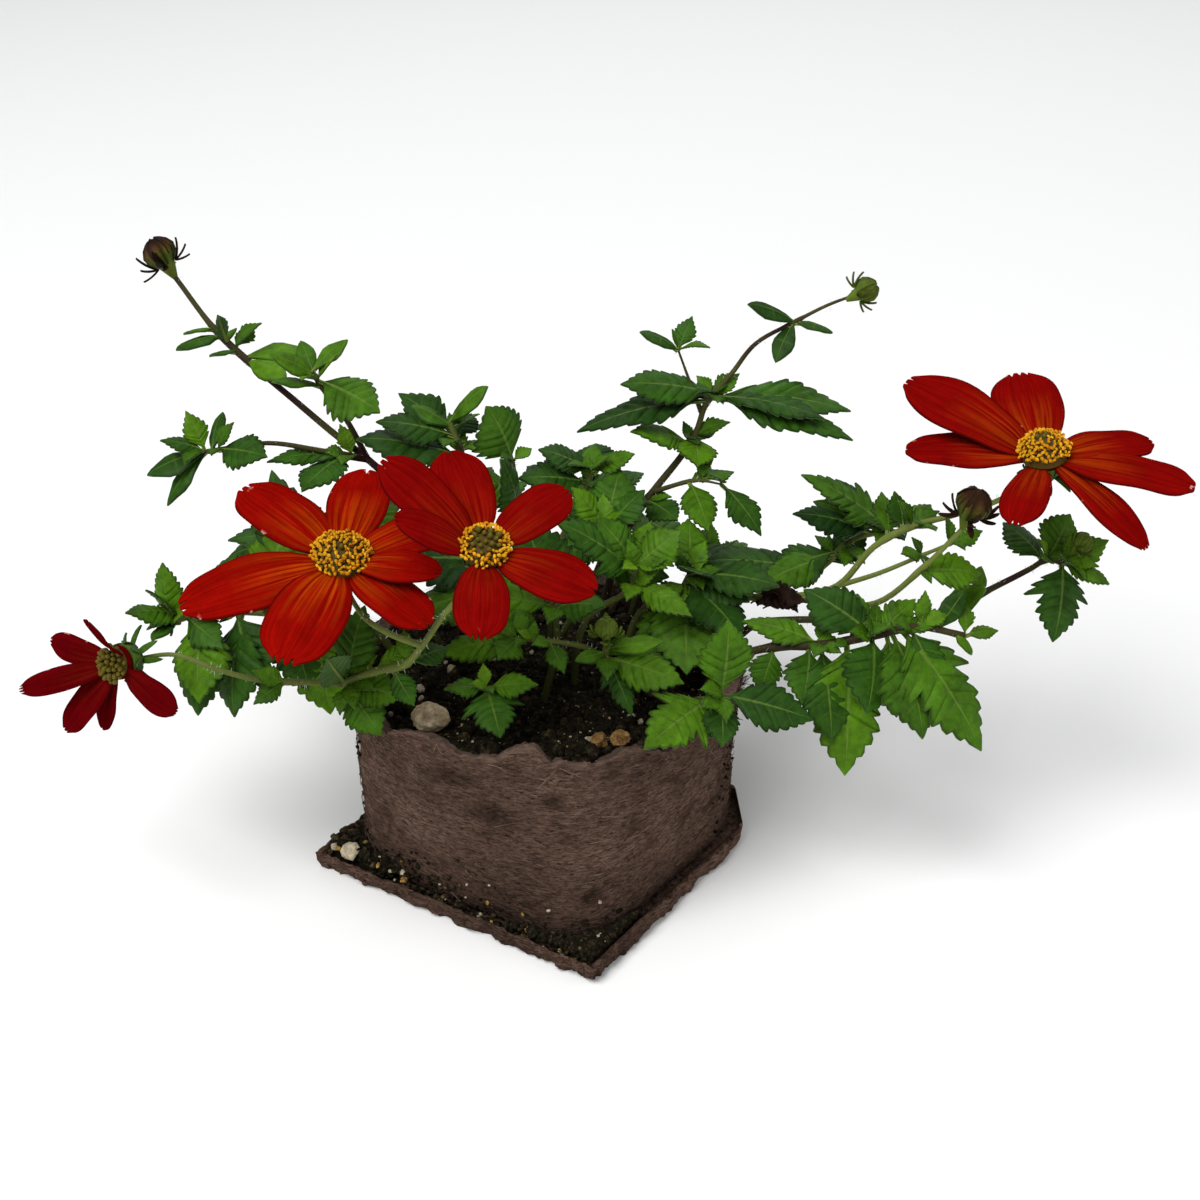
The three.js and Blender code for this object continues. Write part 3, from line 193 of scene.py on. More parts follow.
# Each shoot: its name, its stems and its leaves. A stem: [radius, points it passes through].
# A leaf: [stem, place along the stem counted in its points, tip x, y, z, width as a percentage of its
# length, outline].
SHOOTS = [
  ["shoot_back_left", [
    [1.1, [[-12, 8, 34], [-16, 14, 52], [-27, 24, 67], [-38, 30, 76], [-45, 32, 81], [-54, 35, 88],
      [-63, 38, 95], [-70, 41, 101], [-78, 45, 111]]],
    [0.8, [[-38, 30, 76], [-42, 27, 87], [-46, 27, 93], [-48, 27, 97]]],
    [0.8, [[-38, 30, 76], [-48, 26, 80], [-58, 25, 82], [-71, 25, 80]]],
  ], [
    [0, 6.6, -68, 36, 106, 42, "small"], [0, 6.4, -62, 44, 101, 60, "small"],
    [0, 7.0, -76, 38, 101, 40, "small"], [0, 6.8, -77, 34, 99, 36, "small"],
    [0, 6.3, -70, 33, 98, 40, "small"], [0, 6.0, -54, 31, 94, 40, "small"],
    [0, 6.1, -51, 42, 96, 36, "small"], [1, 2.5, -34, 22, 90, 72, "ovate"],
    [1, 3.0, -41, 32, 102, 36, "small"], [1, 2.7, -56, 24, 102, 36, "small"],
    [1, 2.2, -56, 24, 96, 36, "small"], [1, 2.9, -51, 34, 101, 36, "small"],
    [2, 2.8, -57, 18, 82, 55, "ovate"], [2, 3.0, -75, 28, 88, 50, "small"],
    [2, 2.9, -68, 32, 86, 36, "small"], [2, 3.0, -80, 24, 83, 50, "small"],
    [2, 3.0, -79, 20, 70, 30, "small"], [2, 3.0, -83, 22, 76, 40, "small"],
    [2, 0.3, -58, 22, 79, 28, "ovate"], [2, 0.4, -50, 14, 76, 50, "ovate"],
  ]],
  ["shoot_left", [
    [1.1, [[-27, 2, 34], [-35, 2, 50], [-44, -2, 55], [-57, -4, 58], [-68, -6, 59], [-74, -6, 57]]],
  ], [
    [0, 5.0, -76, -2, 68, 50, "ovate"], [0, 4.6, -82, -12, 62, 50, "ovate"],
    [0, 4.2, -62, 4, 67, 50, "ovate"], [0, 3.9, -69, -16, 41, 55, "ovate"],
    [0, 3.4, -56, -14, 46, 60, "ovate"], [0, 3.0, -50, 12, 75, 50, "ovate"],
    [0, 2.6, -47, -12, 44, 55, "ovate"], [0, 4.9, -77, -14, 57, 36, "small"],
    [0, 4.6, -63, -14, 55, 50, "small"], [0, 2.2, -56, 16, 80, 36, "ovate"],
    [0, 4.0, -68, -18, 45, 55, "ovate"], [0, 3.3, -62, -15, 40, 55, "ovate"],
    [0, 2.7, -49, -16, 53, 60, "ovate"], [0, 4.8, -78, -10, 66, 55, "small"],
    [0, 3.8, -67, 2, 62, 60, "ovate"], [0, 2.2, -43, -14, 40, 60, "ovate"],
  ]],
  ["shoot_front_left", [
    [1.0, [[-24, -12, 34], [-30, -16, 46], [-36, -22, 50], [-38, -24, 53], [-32, -28, 58],
      [-26, -31, 61], [-22, -34, 67], [-18, -36, 74], [-14, -36, 79], [-11, -35, 83]]],
    [0.8, [[-22, -34, 67], [-28, -33, 69], [-33, -30, 71], [-37, -26, 76]]],
    [0.8, [[-38, -24, 53], [-46, -25, 54], [-54, -26, 55], [-62, -27, 58], [-70, -25, 60],
      [-78, -23, 58]]],
  ], [
    [0, 4.0, -23, -26, 64, 30, "ovate"], [0, 2.8, -31, -30, 45, 60, "ovate"],
    [0, 4.6, -24, -34, 54, 50, "ovate"], [2, 1.4, -55, -30, 52, 50, "small"],
    [0, 3.2, -27, -28, 52, 60, "ovate"], [0, 5.2, -18, -26, 62, 50, "ovate"],
    [0, 3.0, -40, -32, 63, 50, "ovate"], [0, 3.2, -34, -20, 68, 50, "ovate"],
  ]],
  ["shoot_front_sprig", [
    [0.8, [[-10, -23, 34], [-10, -24, 44], [-11, -24, 52]]],
  ], [
    [0, 2.0, -8, -34, 47, 85, "lobed"], [0, 2.0, -19, -26, 53, 50, "small"],
    [0, 2.0, -1, -26, 54, 50, "small"],
  ]],
  ["shoot_front_centre", [
    [1.0, [[14, -12, 34], [14, -14, 48], [12, -18, 54], [12, -18, 59]]],
    [0.8, [[14, -14, 48], [9, -16, 56], [0, -16, 58], [-5, -15, 58]]],
  ], [
    [0, 2.4, 17, -26, 47, 45, "lobed"], [0, 2.5, 6, -22, 57, 35, "small"],
    [0, 2.6, 23, -20, 60, 30, "small"], [0, 2.3, 27, -24, 53, 45, "ovate"],
    [1, 1.9, 4, -22, 54, 50, "small"], [1, 3.0, -9, -20, 56, 90, "small"],
    [1, 2.7, -21, -14, 54, 35, "ovate"], [1, 2.4, -6, -10, 62, 50, "ovate"],
  ]],
  ["shoot_front_right", [
    [0.9, [[25, -16, 34], [29, -19, 46], [33, -25, 50], [34, -26, 52]]],
  ], [
    [0, 2.6, 34, -34, 45, 60, "ovate"], [0, 3.0, 35, -24, 67, 60, "ovate"],
    [0, 2.8, 52, -26, 46, 42, "ovate"], [0, 1.6, 19, -38, 47, 60, "lobed"],
  ]],
  ["shoot_right_hub", [
    [1.1, [[28, -7, 34], [36, -9, 49], [43, -12, 54], [54, -14, 56], [64, -14, 58], [73, -14, 60],
      [82, -14, 58]]],
  ], [
    [0, 3.0, 39, -8, 58, 36, "ovate"], [0, 4.0, 51, -6, 64, 62, "ovate"],
    [0, 3.0, 56, -24, 40, 50, "ovate"], [0, 3.5, 59, -24, 32, 60, "lobed"],
    [0, 4.6, 85, -26, 39, 60, "lobed"], [0, 4.3, 69, -20, 43, 50, "ovate"],
    [0, 5.0, 74, -12, 67, 50, "small"], [0, 5.4, 82, -10, 66, 40, "small"],
    [0, 6.0, 89, -12, 58, 45, "small"], [0, 5.8, 83, -18, 56, 40, "small"],
    [0, 4.1, 73, -8, 63, 50, "small"],
    [0, 2.8, 50, -22, 47, 60, "ovate"], [0, 4.0, 62, -27, 48, 70, "ovate"],
    [0, 4.4, 73, -28, 43, 60, "ovate"], [0, 4.8, 77, -20, 48, 50, "ovate"],
    [0, 3.6, 62, -4, 62, 60, "ovate"], [0, 2.2, 42, -17, 47, 60, "ovate"],
  ]],
  ["shoot_right_far", [
    [1.0, [[31, 1, 34], [41, 0, 52], [51, 0, 54], [66, 0, 53], [79, 2, 54], [92, 4, 60],
      [98, 5, 63], [101, 5, 65], [104, 4, 65]]],
  ], [
    [0, 8.0, 102, -4, 51, 80, "lobed"], [0, 7.9, 113, 0, 62, 56, "ovate"],
    [0, 8.0, 114, 8, 68, 50, "small"],
    [0, 6.8, 93, 12, 70, 80, "ovate"], [0, 7.0, 107, 14, 71, 60, "ovate"],
    [0, 4.6, 89, 10, 61, 40, "small"], [0, 4.0, 88, -2, 62, 40, "small"],
  ]],
  ["shoot_right_flower", [
    [1.0, [[24, 7, 34], [35, 7, 54], [50, 6, 56], [59, 5, 59], [66, 5, 68], [73, 4, 73],
      [81, 3, 76], [90, 2, 80], [97, 1, 86]]],
    [0.9, [[50, 6, 56], [58, 1, 57], [66, -4, 60], [74, -8, 70], [81, -10, 80]]],
    [0.7, [[59, 5, 59], [67, 3, 63], [75, 1, 68], [80, 0, 71]]],
  ], [
    [0, 4.8, 70, 10, 78, 60, "small"], [0, 5.0, 78, 12, 74, 50, "small"],
    [0, 5.2, 77, -2, 75, 50, "small"], [0, 4.4, 68, 14, 76, 50, "small"],
    [1, 2.9, 86, -5, 67, 55, "ovate"], [2, 3.0, 87, 2, 73, 50, "small"],
    [2, 2.0, 70, -4, 71, 45, "small"],
  ]],
  ["shoot_right_upper", [
    [1.0, [[19, 13, 34], [29, 16, 52], [45, 18, 54], [56, 18, 56], [63, 16, 64], [70, 15, 67]]],
  ], [
    [0, 5.0, 52, 18, 78, 50, "lobed"], [0, 4.6, 50, 12, 72, 40, "ovate"],
    [0, 3.5, 43, 10, 56, 44, "ovate"], [0, 3.2, 67, 22, 63, 60, "ovate"],
    [0, 2.9, 32, 16, 59, 50, "ovate"], [0, 5.0, 73, 10, 67, 70, "small"],
    [0, 4.8, 60, 22, 75, 60, "ovate"], [0, 3.6, 45, 14, 56, 60, "ovate"],
    [0, 3.8, 61, 10, 61, 50, "small"], [0, 4.9, 55, 20, 71, 60, "small"],
  ]],
  ["shoot_tall_right", [
    [1.1, [[9, 16, 34], [15, 22, 60], [19, 26, 66], [23, 28, 71], [28, 30, 77], [31, 31, 82],
      [33, 32, 88], [38, 33, 94], [43, 35, 100], [51, 37, 104], [58, 39, 107], [64, 40, 109]]],
    [0.7, [[32, 32, 86], [30, 33, 91], [27, 34, 99]]],
    [0.7, [[22, 27, 70], [31, 24, 74], [36, 22, 74]]],
  ], [
    [0, 9.0, 41, 34, 109, 36, "small"], [0, 9.0, 59, 36, 102, 36, "small"],
    [0, 9.0, 47, 32, 97, 40, "small"], [1, 2.0, 19, 34, 103, 40, "small"],
    [1, 2.0, 30, 38, 105, 50, "small"], [0, 6.1, 6, 26, 84, 32, "ovate"],
    [0, 6.1, 28, 40, 88, 50, "ovate"], [0, 6.2, 63, 24, 83, 30, "ovate"],
    [0, 6.2, 63, 30, 87, 34, "ovate"], [0, 4.8, 31, 22, 78, 80, "ovate"],
    [0, 4.5, 17, 24, 85, 50, "small"], [2, 2.0, 44, 14, 66, 50, "small"],
    [2, 1.2, 39, 28, 74, 45, "small"], [2, 0.8, 33, 14, 67, 50, "ovate"],
    [0, 6.3, 15, 30, 93, 46, "ovate"], [0, 6.2, 57, 23, 88, 32, "ovate"],
    [0, 4.6, 34, 25, 77, 60, "ovate"], [0, 2.4, 27, 19, 67, 60, "ovate"],
  ]],
  ["shoot_centre", [
    [1.0, [[5, -4, 34], [8, 0, 54], [17, 2, 60], [18, 2, 65]]],
  ], [
    [0, 3.0, 27, 4, 72, 65, "ovate"], [0, 3.0, 10, 6, 74, 60, "ovate"],
    [0, 2.7, 2, 0, 76, 60, "lobed"],
    [0, 2.2, 29, -10, 60, 30, "ovate"], [0, 3.0, 21, 12, 70, 50, "ovate"],
  ]],
  ["shoot_centre_right", [
    [1.0, [[14, 0, 34], [19, 3, 54], [27, 6, 57], [29, 6, 61]]],
  ], [
    [0, 3.0, 29, 18, 68, 50, "ovate"], [0, 3.0, 41, 0, 58, 50, "ovate"],
    [0, 2.5, 28, -12, 48, 60, "ovate"], [0, 2.2, 21, -8, 45, 50, "ovate"],
    [0, 3.0, 31, -3, 66, 60, "ovate"],
    [0, 3.0, 47, 1, 61, 55, "ovate"], [0, 2.6, 39, -8, 54, 60, "ovate"],
  ]],
  ["shoot_centre_left", [
    [1.0, [[-8, 4, 34], [-10, 10, 58], [-16, 16, 73], [-18, 22, 82], [-20, 24, 87]]],
    [0.8, [[-10, 10, 58], [-6, 14, 74], [-7, 16, 82]]],
  ], [
    [0, 4.0, -12, 24, 95, 40, "small"], [0, 3.8, -28, 26, 90, 40, "small"],
    [0, 3.4, -35, 22, 88, 50, "ovate"], [1, 2.0, -12, 16, 94, 90, "ovate"],
    [0, 3.0, -10, 28, 80, 50, "ovate"], [1, 1.2, -19, 8, 82, 50, "ovate"],
    [0, 3.2, -27, 28, 82, 60, "ovate"], [0, 3.4, -16, 31, 86, 60, "ovate"],
    [0, 3.6, -31, 30, 91, 50, "small"], [0, 2.8, -39, 20, 85, 60, "ovate"],
    [0, 2.4, -23, 20, 78, 60, "ovate"], [0, 0.9, -29, 0, 54, 60, "ovate"],
    [0, 1.2, -31, 14, 60, 60, "ovate"], [1, 0.8, -9, 8, 86, 60, "ovate"],
  ]],
  ["shoot_centre_back", [
    [1.0, [[0, 14, 34], [2, 20, 60], [7, 22, 70], [9, 24, 76]]],
  ], [
    [0, 3.0, -2, 24, 81, 60, "ovate"], [0, 3.0, 18, 24, 80, 50, "ovate"],
    [0, 2.6, -6, 16, 78, 50, "ovate"], [0, 2.4, 22, 20, 70, 30, "ovate"],
    [0, 3.0, 10, 36, 77, 60, "ovate"],
  ]],
  ["shoot_under_flowers", [
    [1.0, [[-2, -10, 34], [2, -7, 52], [2, -8, 62]]],
  ], [
    [0, 2.0, -4, -7, 80, 60, "ovate"], [0, 1.9, 12, -13, 64, 60, "ovate"],
    [0, 1.9, -17, -4, 62, 55, "ovate"],
  ]],
  ["shoot_middle", [
    [1.0, [[-4, 8, 34], [6, 8, 52], [11, 10, 62], [12, 12, 68]]],
  ], [
    [0, 3.0, 5, 14, 77, 60, "ovate"], [0, 3.0, 20, 17, 75, 60, "ovate"],
    [0, 2.6, 2, 6, 65, 60, "ovate"], [0, 2.6, 24, 6, 66, 60, "ovate"],
    [0, 2.8, 2, 12, 72, 60, "ovate"], [0, 3.0, 15, 23, 77, 60, "ovate"],
    [0, 1.9, 25, 9, 59, 60, "ovate"],
  ]],
  ["shoot_rear_a", [
    [1.0, [[-9, 22, 34], [-13, 32, 51], [-19, 44, 57], [-26, 56, 56]]],
  ], [
    [0, 3.0, -35, 72, 49, 60, "lobed"], [0, 2.7, -14, 66, 58, 60, "ovate"],
    [0, 2.4, -38, 56, 60, 55, "ovate"], [0, 1.8, -5, 50, 62, 55, "ovate"],
    [0, 1.6, -32, 38, 64, 55, "ovate"],
  ]],
  ["shoot_rear_b", [
    [1.0, [[5, 24, 34], [5, 34, 52], [6, 46, 58], [7, 57, 57]]],
  ], [
    [0, 3.0, 8, 75, 48, 60, "ovate"], [0, 2.8, 21, 67, 56, 60, "lobed"],
    [0, 2.6, -6, 62, 60, 60, "ovate"], [0, 2.0, 19, 52, 63, 55, "ovate"],
    [0, 1.7, -6, 44, 66, 55, "ovate"],
  ]],
  ["shoot_rear_c", [
    [1.0, [[15, 22, 34], [22, 32, 50], [30, 40, 50], [38, 48, 45]]],
  ], [
    [0, 3.0, 52, 60, 34, 60, "ovate"], [0, 2.8, 32, 66, 36, 60, "ovate"],
    [0, 2.6, 56, 46, 40, 60, "lobed"], [0, 2.0, 18, 55, 51, 55, "ovate"],
    [0, 1.7, 45, 32, 49, 55, "ovate"],
  ]],
  ["shoot_rear_d", [
    [1.0, [[-20, 14, 34], [-31, 20, 51], [-42, 26, 57], [-54, 32, 56]]],
  ], [
    [0, 3.0, -71, 38, 49, 60, "ovate"], [0, 2.8, -56, 48, 57, 60, "lobed"],
    [0, 2.5, -68, 24, 60, 60, "ovate"], [0, 2.0, -36, 44, 62, 55, "ovate"],
    [0, 1.8, -50, 14, 62, 55, "ovate"],
  ]],
]

# How green each shoot's leaves are, from 0, dark, to 1, bright, and how purple its stems, from 0 to 1
SHOOT_TONES = {
    "shoot_back_left": [0.5, 1], "shoot_left": [0.58, 0.2], "shoot_front_left": [0.55, 0.25],
    "shoot_front_sprig": [0.52, 0.5], "shoot_front_centre": [0.56, 0.4], "shoot_front_right": [0.5, 0.3],
    "shoot_right_hub": [0.5, 0.8], "shoot_right_far": [0.56, 0.9], "shoot_right_flower": [0.45, 0.15],
    "shoot_right_upper": [0.34, 0.3], "shoot_tall_right": [0.4, 0.9], "shoot_centre": [0.52, 0.4],
    "shoot_centre_right": [0.42, 0.4], "shoot_centre_left": [0.38, 0.5], "shoot_centre_back": [0.34, 0.5],
    "shoot_under_flowers": [0.5, 0.4], "shoot_middle": [0.5, 0.4], "shoot_rear_a": [0.5, 0.5],
    "shoot_rear_b": [0.45, 0.5], "shoot_rear_c": [0.5, 0.5], "shoot_rear_d": [0.48, 0.5],
}

# How much thinner a stem is at its tip than at its foot, as a share of its radius
TAPER = 0.4
SLENDER_TAPER = {"shoot_tall_right": 0.7}

# Each flower: its name, the middle of its petals, its axis, the radius of its disc, how orange its
# petals are towards their feet, how crimson they are, its petals: [tip x, y, z, width as a percentage
# of the length], and its florets: [how many, share of the disc's radius inside which they are still
# closed, height of the disc's dome as a share of its radius]
FLOWERS = [
    ["left", [-37, -26, 80], [0.1, -0.3, 0.95], 6.8, 0.85, 0.1, [
        [-57, -10, 88, 52], [-34, -2, 88, 50], [-16, -16, 84, 48], [-18, -34, 82, 46],
        [-20, -41, 75, 50], [-45, -51, 73, 58], [-65, -38, 77, 48]], [84, 0.1, 0.62]],
    ["centre", [-10, -36, 87], [0.12, -0.45, 0.88], 5.4, 0.25, 0.45, [
        [-28, -31, 103, 46], [-17, -18, 99, 56], [-25, -42, 97, 46], [5, -24, 94, 52],
        [10, -45, 84, 54], [-10, -55, 80, 56]], [60, 0.5, 0.7]],
    ["right", [97, 0, 89], [-0.12, -0.14, 0.98], 6, 0.6, 0.4, [
        [72, 17, 99, 50], [71, 6, 89, 52], [96, 26, 97, 56], [119, 5, 91, 56], [124, -10, 88, 44],
        [114, -18, 79, 30], [89, -16, 83, 54]], [80, 0.2, 1.05]],
    ["far_left", [-80, -26, 59], [-0.6, -0.76, 0.25], 3.9, 0.1, 1, [
        [-96, -16, 58, 34], [-83, -34, 72, 50], [-99, -30, 55, 27], [-92, -28, 45, 40],
        [-86, -24, 43, 38], [-69, -33, 52, 54]], [46, 1.1, 0.8]],
]

# Each bud: its name, its middle, its axis, its radius, how dark it is, and its own node if it has one
BUDS = [
    ["bud_back_left", [-81, 46, 116], [-0.5, 0.15, 0.85], 3.4, 1, "bud_back_left"],
    ["bud_right", [82, -11, 85], [0.25, -0.2, 0.93], 3.4, 0.85, "bud_right"],
    ["bud_tall_right", [66, 40, 110], [0.9, 0.1, 0.45], 2.5, 0.25, ""],
    ["bud_left", [-76, -7, 58], [-0.8, -0.3, 0.4], 2, 0.3, ""],
    ["bud_front_centre", [12, -18, 62], [0, -0.3, 0.95], 2.2, 0.1, ""],
    ["bud_right_far", [108, 5, 69], [0.7, 0.1, 0.7], 2.1, 0.1, ""],
]

# The withered leaf's blades: [foot, tip, half width]
WITHERED = [[[42, 9, 53], [53, 2, 57], 3.2], [[44, 3, 55], [53, 8, 54.5], 2.6],
            [[45, 8, 56.5], [51, 1, 55], 2.4]]


def pick(*pieces):
    """Selects these objects alone, the first one active."""
    if bpy.context.mode != "OBJECT":
        bpy.ops.object.mode_set(mode="OBJECT")
    bpy.ops.object.select_all(action="DESELECT")
    for piece in pieces:
        piece.select_set(True)
    if pieces:
        bpy.context.view_layer.objects.active = pieces[0]


def apply_modifier(piece, kind, **settings):
    pick(piece)
    modifier = piece.modifiers.new(kind.lower(), kind)
    for name, value in settings.items():
        setattr(modifier, name, value)
    bpy.ops.object.modifier_apply(modifier=modifier.name)


def apply_place(piece, matrix=None):
    """Gives the piece this place, if there is one, and moves its place into its mesh."""
    if matrix is not None:
        piece.matrix_world = matrix
    pick(piece)
    bpy.ops.object.transform_apply(location=True, rotation=True, scale=True)


def joined(pieces):
    """Makes one object of these, and returns it."""
    pick(*pieces)
    if len(pieces) > 1:
        bpy.ops.object.join()
    return bpy.context.object


def discard(*pieces):
    for piece in pieces:
        bpy.data.objects.remove(piece)


def edit(piece, mode="VERT", selected="DESELECT"):
    """Opens the piece in edit mode with nothing selected, or everything, and returns its edit mesh."""
    pick(piece)
    bpy.ops.object.mode_set(mode="EDIT")
    bpy.ops.mesh.select_mode(type=mode)
    bpy.ops.mesh.select_all(action=selected)
    return bmesh.from_edit_mesh(piece.data)


def leave_edit():
    bpy.ops.object.mode_set(mode="OBJECT")


def extrude_up(height):
    """Extrudes what is selected by a height in millimetres, or down if that is negative."""
    bpy.ops.mesh.extrude_region_move(TRANSFORM_OT_translate={"value": (0, 0, height * MM)})


def turn_faces_out():
    """Ends the edit with every face pointing outwards."""
    bpy.ops.mesh.select_all(action="SELECT")
    bpy.ops.mesh.normals_make_consistent(inside=False)
    leave_edit()


def vertices(mesh):
    places = np.empty(len(mesh.vertices) * 3)
    mesh.vertices.foreach_get("co", places)
    return places.reshape(-1, 3)


def set_vertices(mesh, places):
    mesh.vertices.foreach_set("co", np.asarray(places, np.float32).ravel())
    mesh.update()


def values(piece, name):
    found = np.empty(len(piece.data.vertices))
    piece.data.attributes[name].data.foreach_get("value", found)
    return found


def set_values(piece, **named):
    """Gives each vertex a number under each name: a list, or one number for all."""
    mesh = piece.data
    for name, numbers in named.items():
        attribute = mesh.attributes.get(name) or mesh.attributes.new(name, "FLOAT", "POINT")
        spread = np.broadcast_to(np.asarray(numbers, np.float32), (len(mesh.vertices),))
        attribute.data.foreach_set("value", np.ascontiguousarray(spread))


def moved(piece, move):
    """Moves every vertex of the piece by a function of its place in millimetres."""
    places = vertices(piece.data) / MM
    set_vertices(piece.data, np.array([move(Vector(p)) for p in places]) * MM)
    return piece


def finish(piece, name, material, nodes=(), angle=50):
    """Names the piece, gives it its material and ties it to the part's frame."""
    pick(piece)
    piece.name = name
    piece.data.name = name
    piece.data.materials.clear()
    piece.data.materials.append(material)
    bpy.ops.object.shade_smooth_by_angle(angle=math.radians(angle))
    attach(piece, "root")
    if nodes:
        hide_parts(*nodes)


def polar(turn, radius, z):
    return Vector((math.cos(turn) * radius, math.sin(turn) * radius, z))


def curve_points(points, step):
    """The smooth curve through the points, as [place counted in points, position] at an even step."""
    count = len(points) - 1
    places = np.arange(0, count + step / 2, step)
    return [(place, on_curve(points, min(place, count))) for place in places]


def on_curve(points, place):
    """A position on the centripetal curve through the points. place counts the points passed."""
    knots = [Vector(p) for p in points]
    index = min(int(place), len(knots) - 2)
    share = place - index
    second, third = knots[index], knots[index + 1]
    first = knots[index - 1] if index > 0 else second * 2 - third
    fourth = knots[index + 2] if index + 2 < len(knots) else third * 2 - second
    before, between, after = (math.sqrt((b - a).length) for a, b in
                              ((first, second), (second, third), (third, fourth)))
    start = ((second - first) / before - (third - first) / (before + between)
             + (third - second) / between) * between
    end = ((third - second) / between - (fourth - second) / (between + after)
           + (fourth - third) / after) * between
    square = -3 * second + 3 * third - 2 * start - end
    cube = 2 * second - 2 * third + start + end
    return second + start * share + square * share ** 2 + cube * share ** 3


def tubes(paths, roundness):
    """One mesh of closed tubes. A path: a list of (position, radius), in millimetres."""
    curve = bpy.data.curves.new("tubes", "CURVE")
    curve.dimensions = "3D"
    curve.bevel_depth = MM
    curve.bevel_resolution = roundness
    curve.use_fill_caps = True
    for path in paths:
        spline = curve.splines.new("POLY")
        spline.points.add(len(path) - 1)
        for knot, (position, radius) in zip(spline.points, path):
            knot.co = (*(position * MM), 1)
            knot.radius = radius
    piece = bpy.data.objects.new("tubes", curve)
    bpy.context.scene.collection.objects.link(piece)
    pick(piece)
    bpy.ops.object.convert(target="MESH")
    return bpy.context.object


def many(template, placings, name):
    """One mesh that repeats the template: once for each (matrix, tone), each copy whole in itself."""
    base = vertices(template.data)
    faces = [list(face.vertices) for face in template.data.polygons]
    flat = np.c_[base, np.ones(len(base))]
    places = np.concatenate([(flat @ np.array(matrix).T)[:, :3] for matrix, _ in placings])
    repeated = [[v + i * len(base) for v in face] for i in range(len(placings)) for face in faces]
    mesh = bpy.data.meshes.new(name)
    mesh.from_pydata(places.tolist(), [], repeated)
    piece = bpy.data.objects.new(name, mesh)
    set_values(piece, tone=np.repeat([tone for _, tone in placings], len(base)))
    for source in template.data.attributes:
        if source.domain == "POINT" and source.data_type == "FLOAT" and source.name != "tone":
            set_values(piece, **{source.name: np.tile(values(template, source.name), len(placings))})
    bpy.context.scene.collection.objects.link(piece)
    return piece


def along_axis(axis, centre, scale=1.0, spin=0.0):
    """The matrix that stands a shape made round Z, in metres, on an axis at a centre in millimetres."""
    turn = Vector((0, 0, 1)).rotation_difference(Vector(axis).normalized()).to_matrix().to_4x4()
    return (Matrix.Translation(Vector(centre) * MM) @ turn @ Matrix.Rotation(spin, 4, "Z")
            @ Matrix.Diagonal((scale, scale, scale, 1)))


def square_to(line, direction):
    """The direction nearest to this one that is square to a line."""
    return (direction - line * direction.dot(line)).normalized()


# Blades: leaves, petals and bracts

def blade_sheet(name, outline, rows):
    """A blade lying flat: x is the share of its length, y the share of its half width, and z the side
    of its thickness, -0.5 or 0.5. Side veins run forwards from the midrib to the outline's teeth."""
    pick()
    bpy.ops.mesh.primitive_grid_add(x_subdivisions=len(outline) - 1, y_subdivisions=len(rows) - 1, size=2)
    sheet = bpy.context.object
    sheet.name = name
    columns = range(len(outline))
    widths = [width for _, width in outline] + [0]
    teeth = [i for i in columns if widths[i - 1] < widths[i] > widths[i + 1]]
    leafy = len(teeth) > 2
    roots = []
    for place, width in outline:
        lean = VEIN_LEAN * width if leafy and 0 < place < 1 else 0
        roots.append(max(place - lean, roots[-1] + 0.01) if roots else 0)
    roots[-1] = 1
    from_vein = [min(abs(i - tooth) for tooth in teeth) for i in columns]
    places, vein, ridge, across = [], [], [], []
    for vertex in sheet.data.vertices:
        column = round((vertex.co.x + 1) / 2 * (len(outline) - 1))
        v = rows[round((vertex.co.y + 1) / 2 * (len(rows) - 1))]
        place, width = outline[column]
        places.append([roots[column] + (place - roots[column]) * abs(v), width * v, 0])
        across.append(v)
        vein.append(min(from_vein[column], 1))
        pillow = math.sin(math.pi * abs(v)) * (1 if from_vein[column] else -1)
        ridge.append(pillow if leafy else math.cos(3 * math.pi * v))
    set_vertices(sheet.data, places)
    set_values(sheet, vein=vein, ridge=ridge, across=across)
    edit(sheet, selected="SELECT")
    bpy.ops.mesh.remove_doubles(threshold=1e-4)
    leave_edit()
    apply_modifier(sheet, "SOLIDIFY", thickness=1, offset=0)
    set_values(sheet, under=vertices(sheet.data)[:, 2] < 0)
    return sheet


def petal_sheets():
    """The petal's sheet with two, three and four small teeth at its tip."""
    knots = [(s, w, 0) for s, w in PETAL_OUTLINE]
    smooth = [on_curve(knots, i / 2)[:2] for i in range(2 * len(knots) - 1)]
    sheets = []
    for name, notches in PETAL_TIPS.items():
        sheet = blade_sheet(f"petal_{name}", smooth, PETAL_ROWS)
        places = vertices(sheet.data)
        v = values(sheet, "across")
        cut = 0.04 * v ** 4
        for i, notch in enumerate(notches):
            depth = NOTCH_DEPTH * (1 - 0.3 * (i % 2))
            cut += depth * np.clip(1 - np.abs(v - notch) / NOTCH_HALF_WIDTH, 0, 1)
        near_tip = np.clip((places[:, 0] - NOTCH_FROM) / (1 - NOTCH_FROM), 0, 1)
        places[:, 0] -= cut * near_tip ** 2
        set_vertices(sheet.data, places)
        sheets.append(sheet)
    return sheets


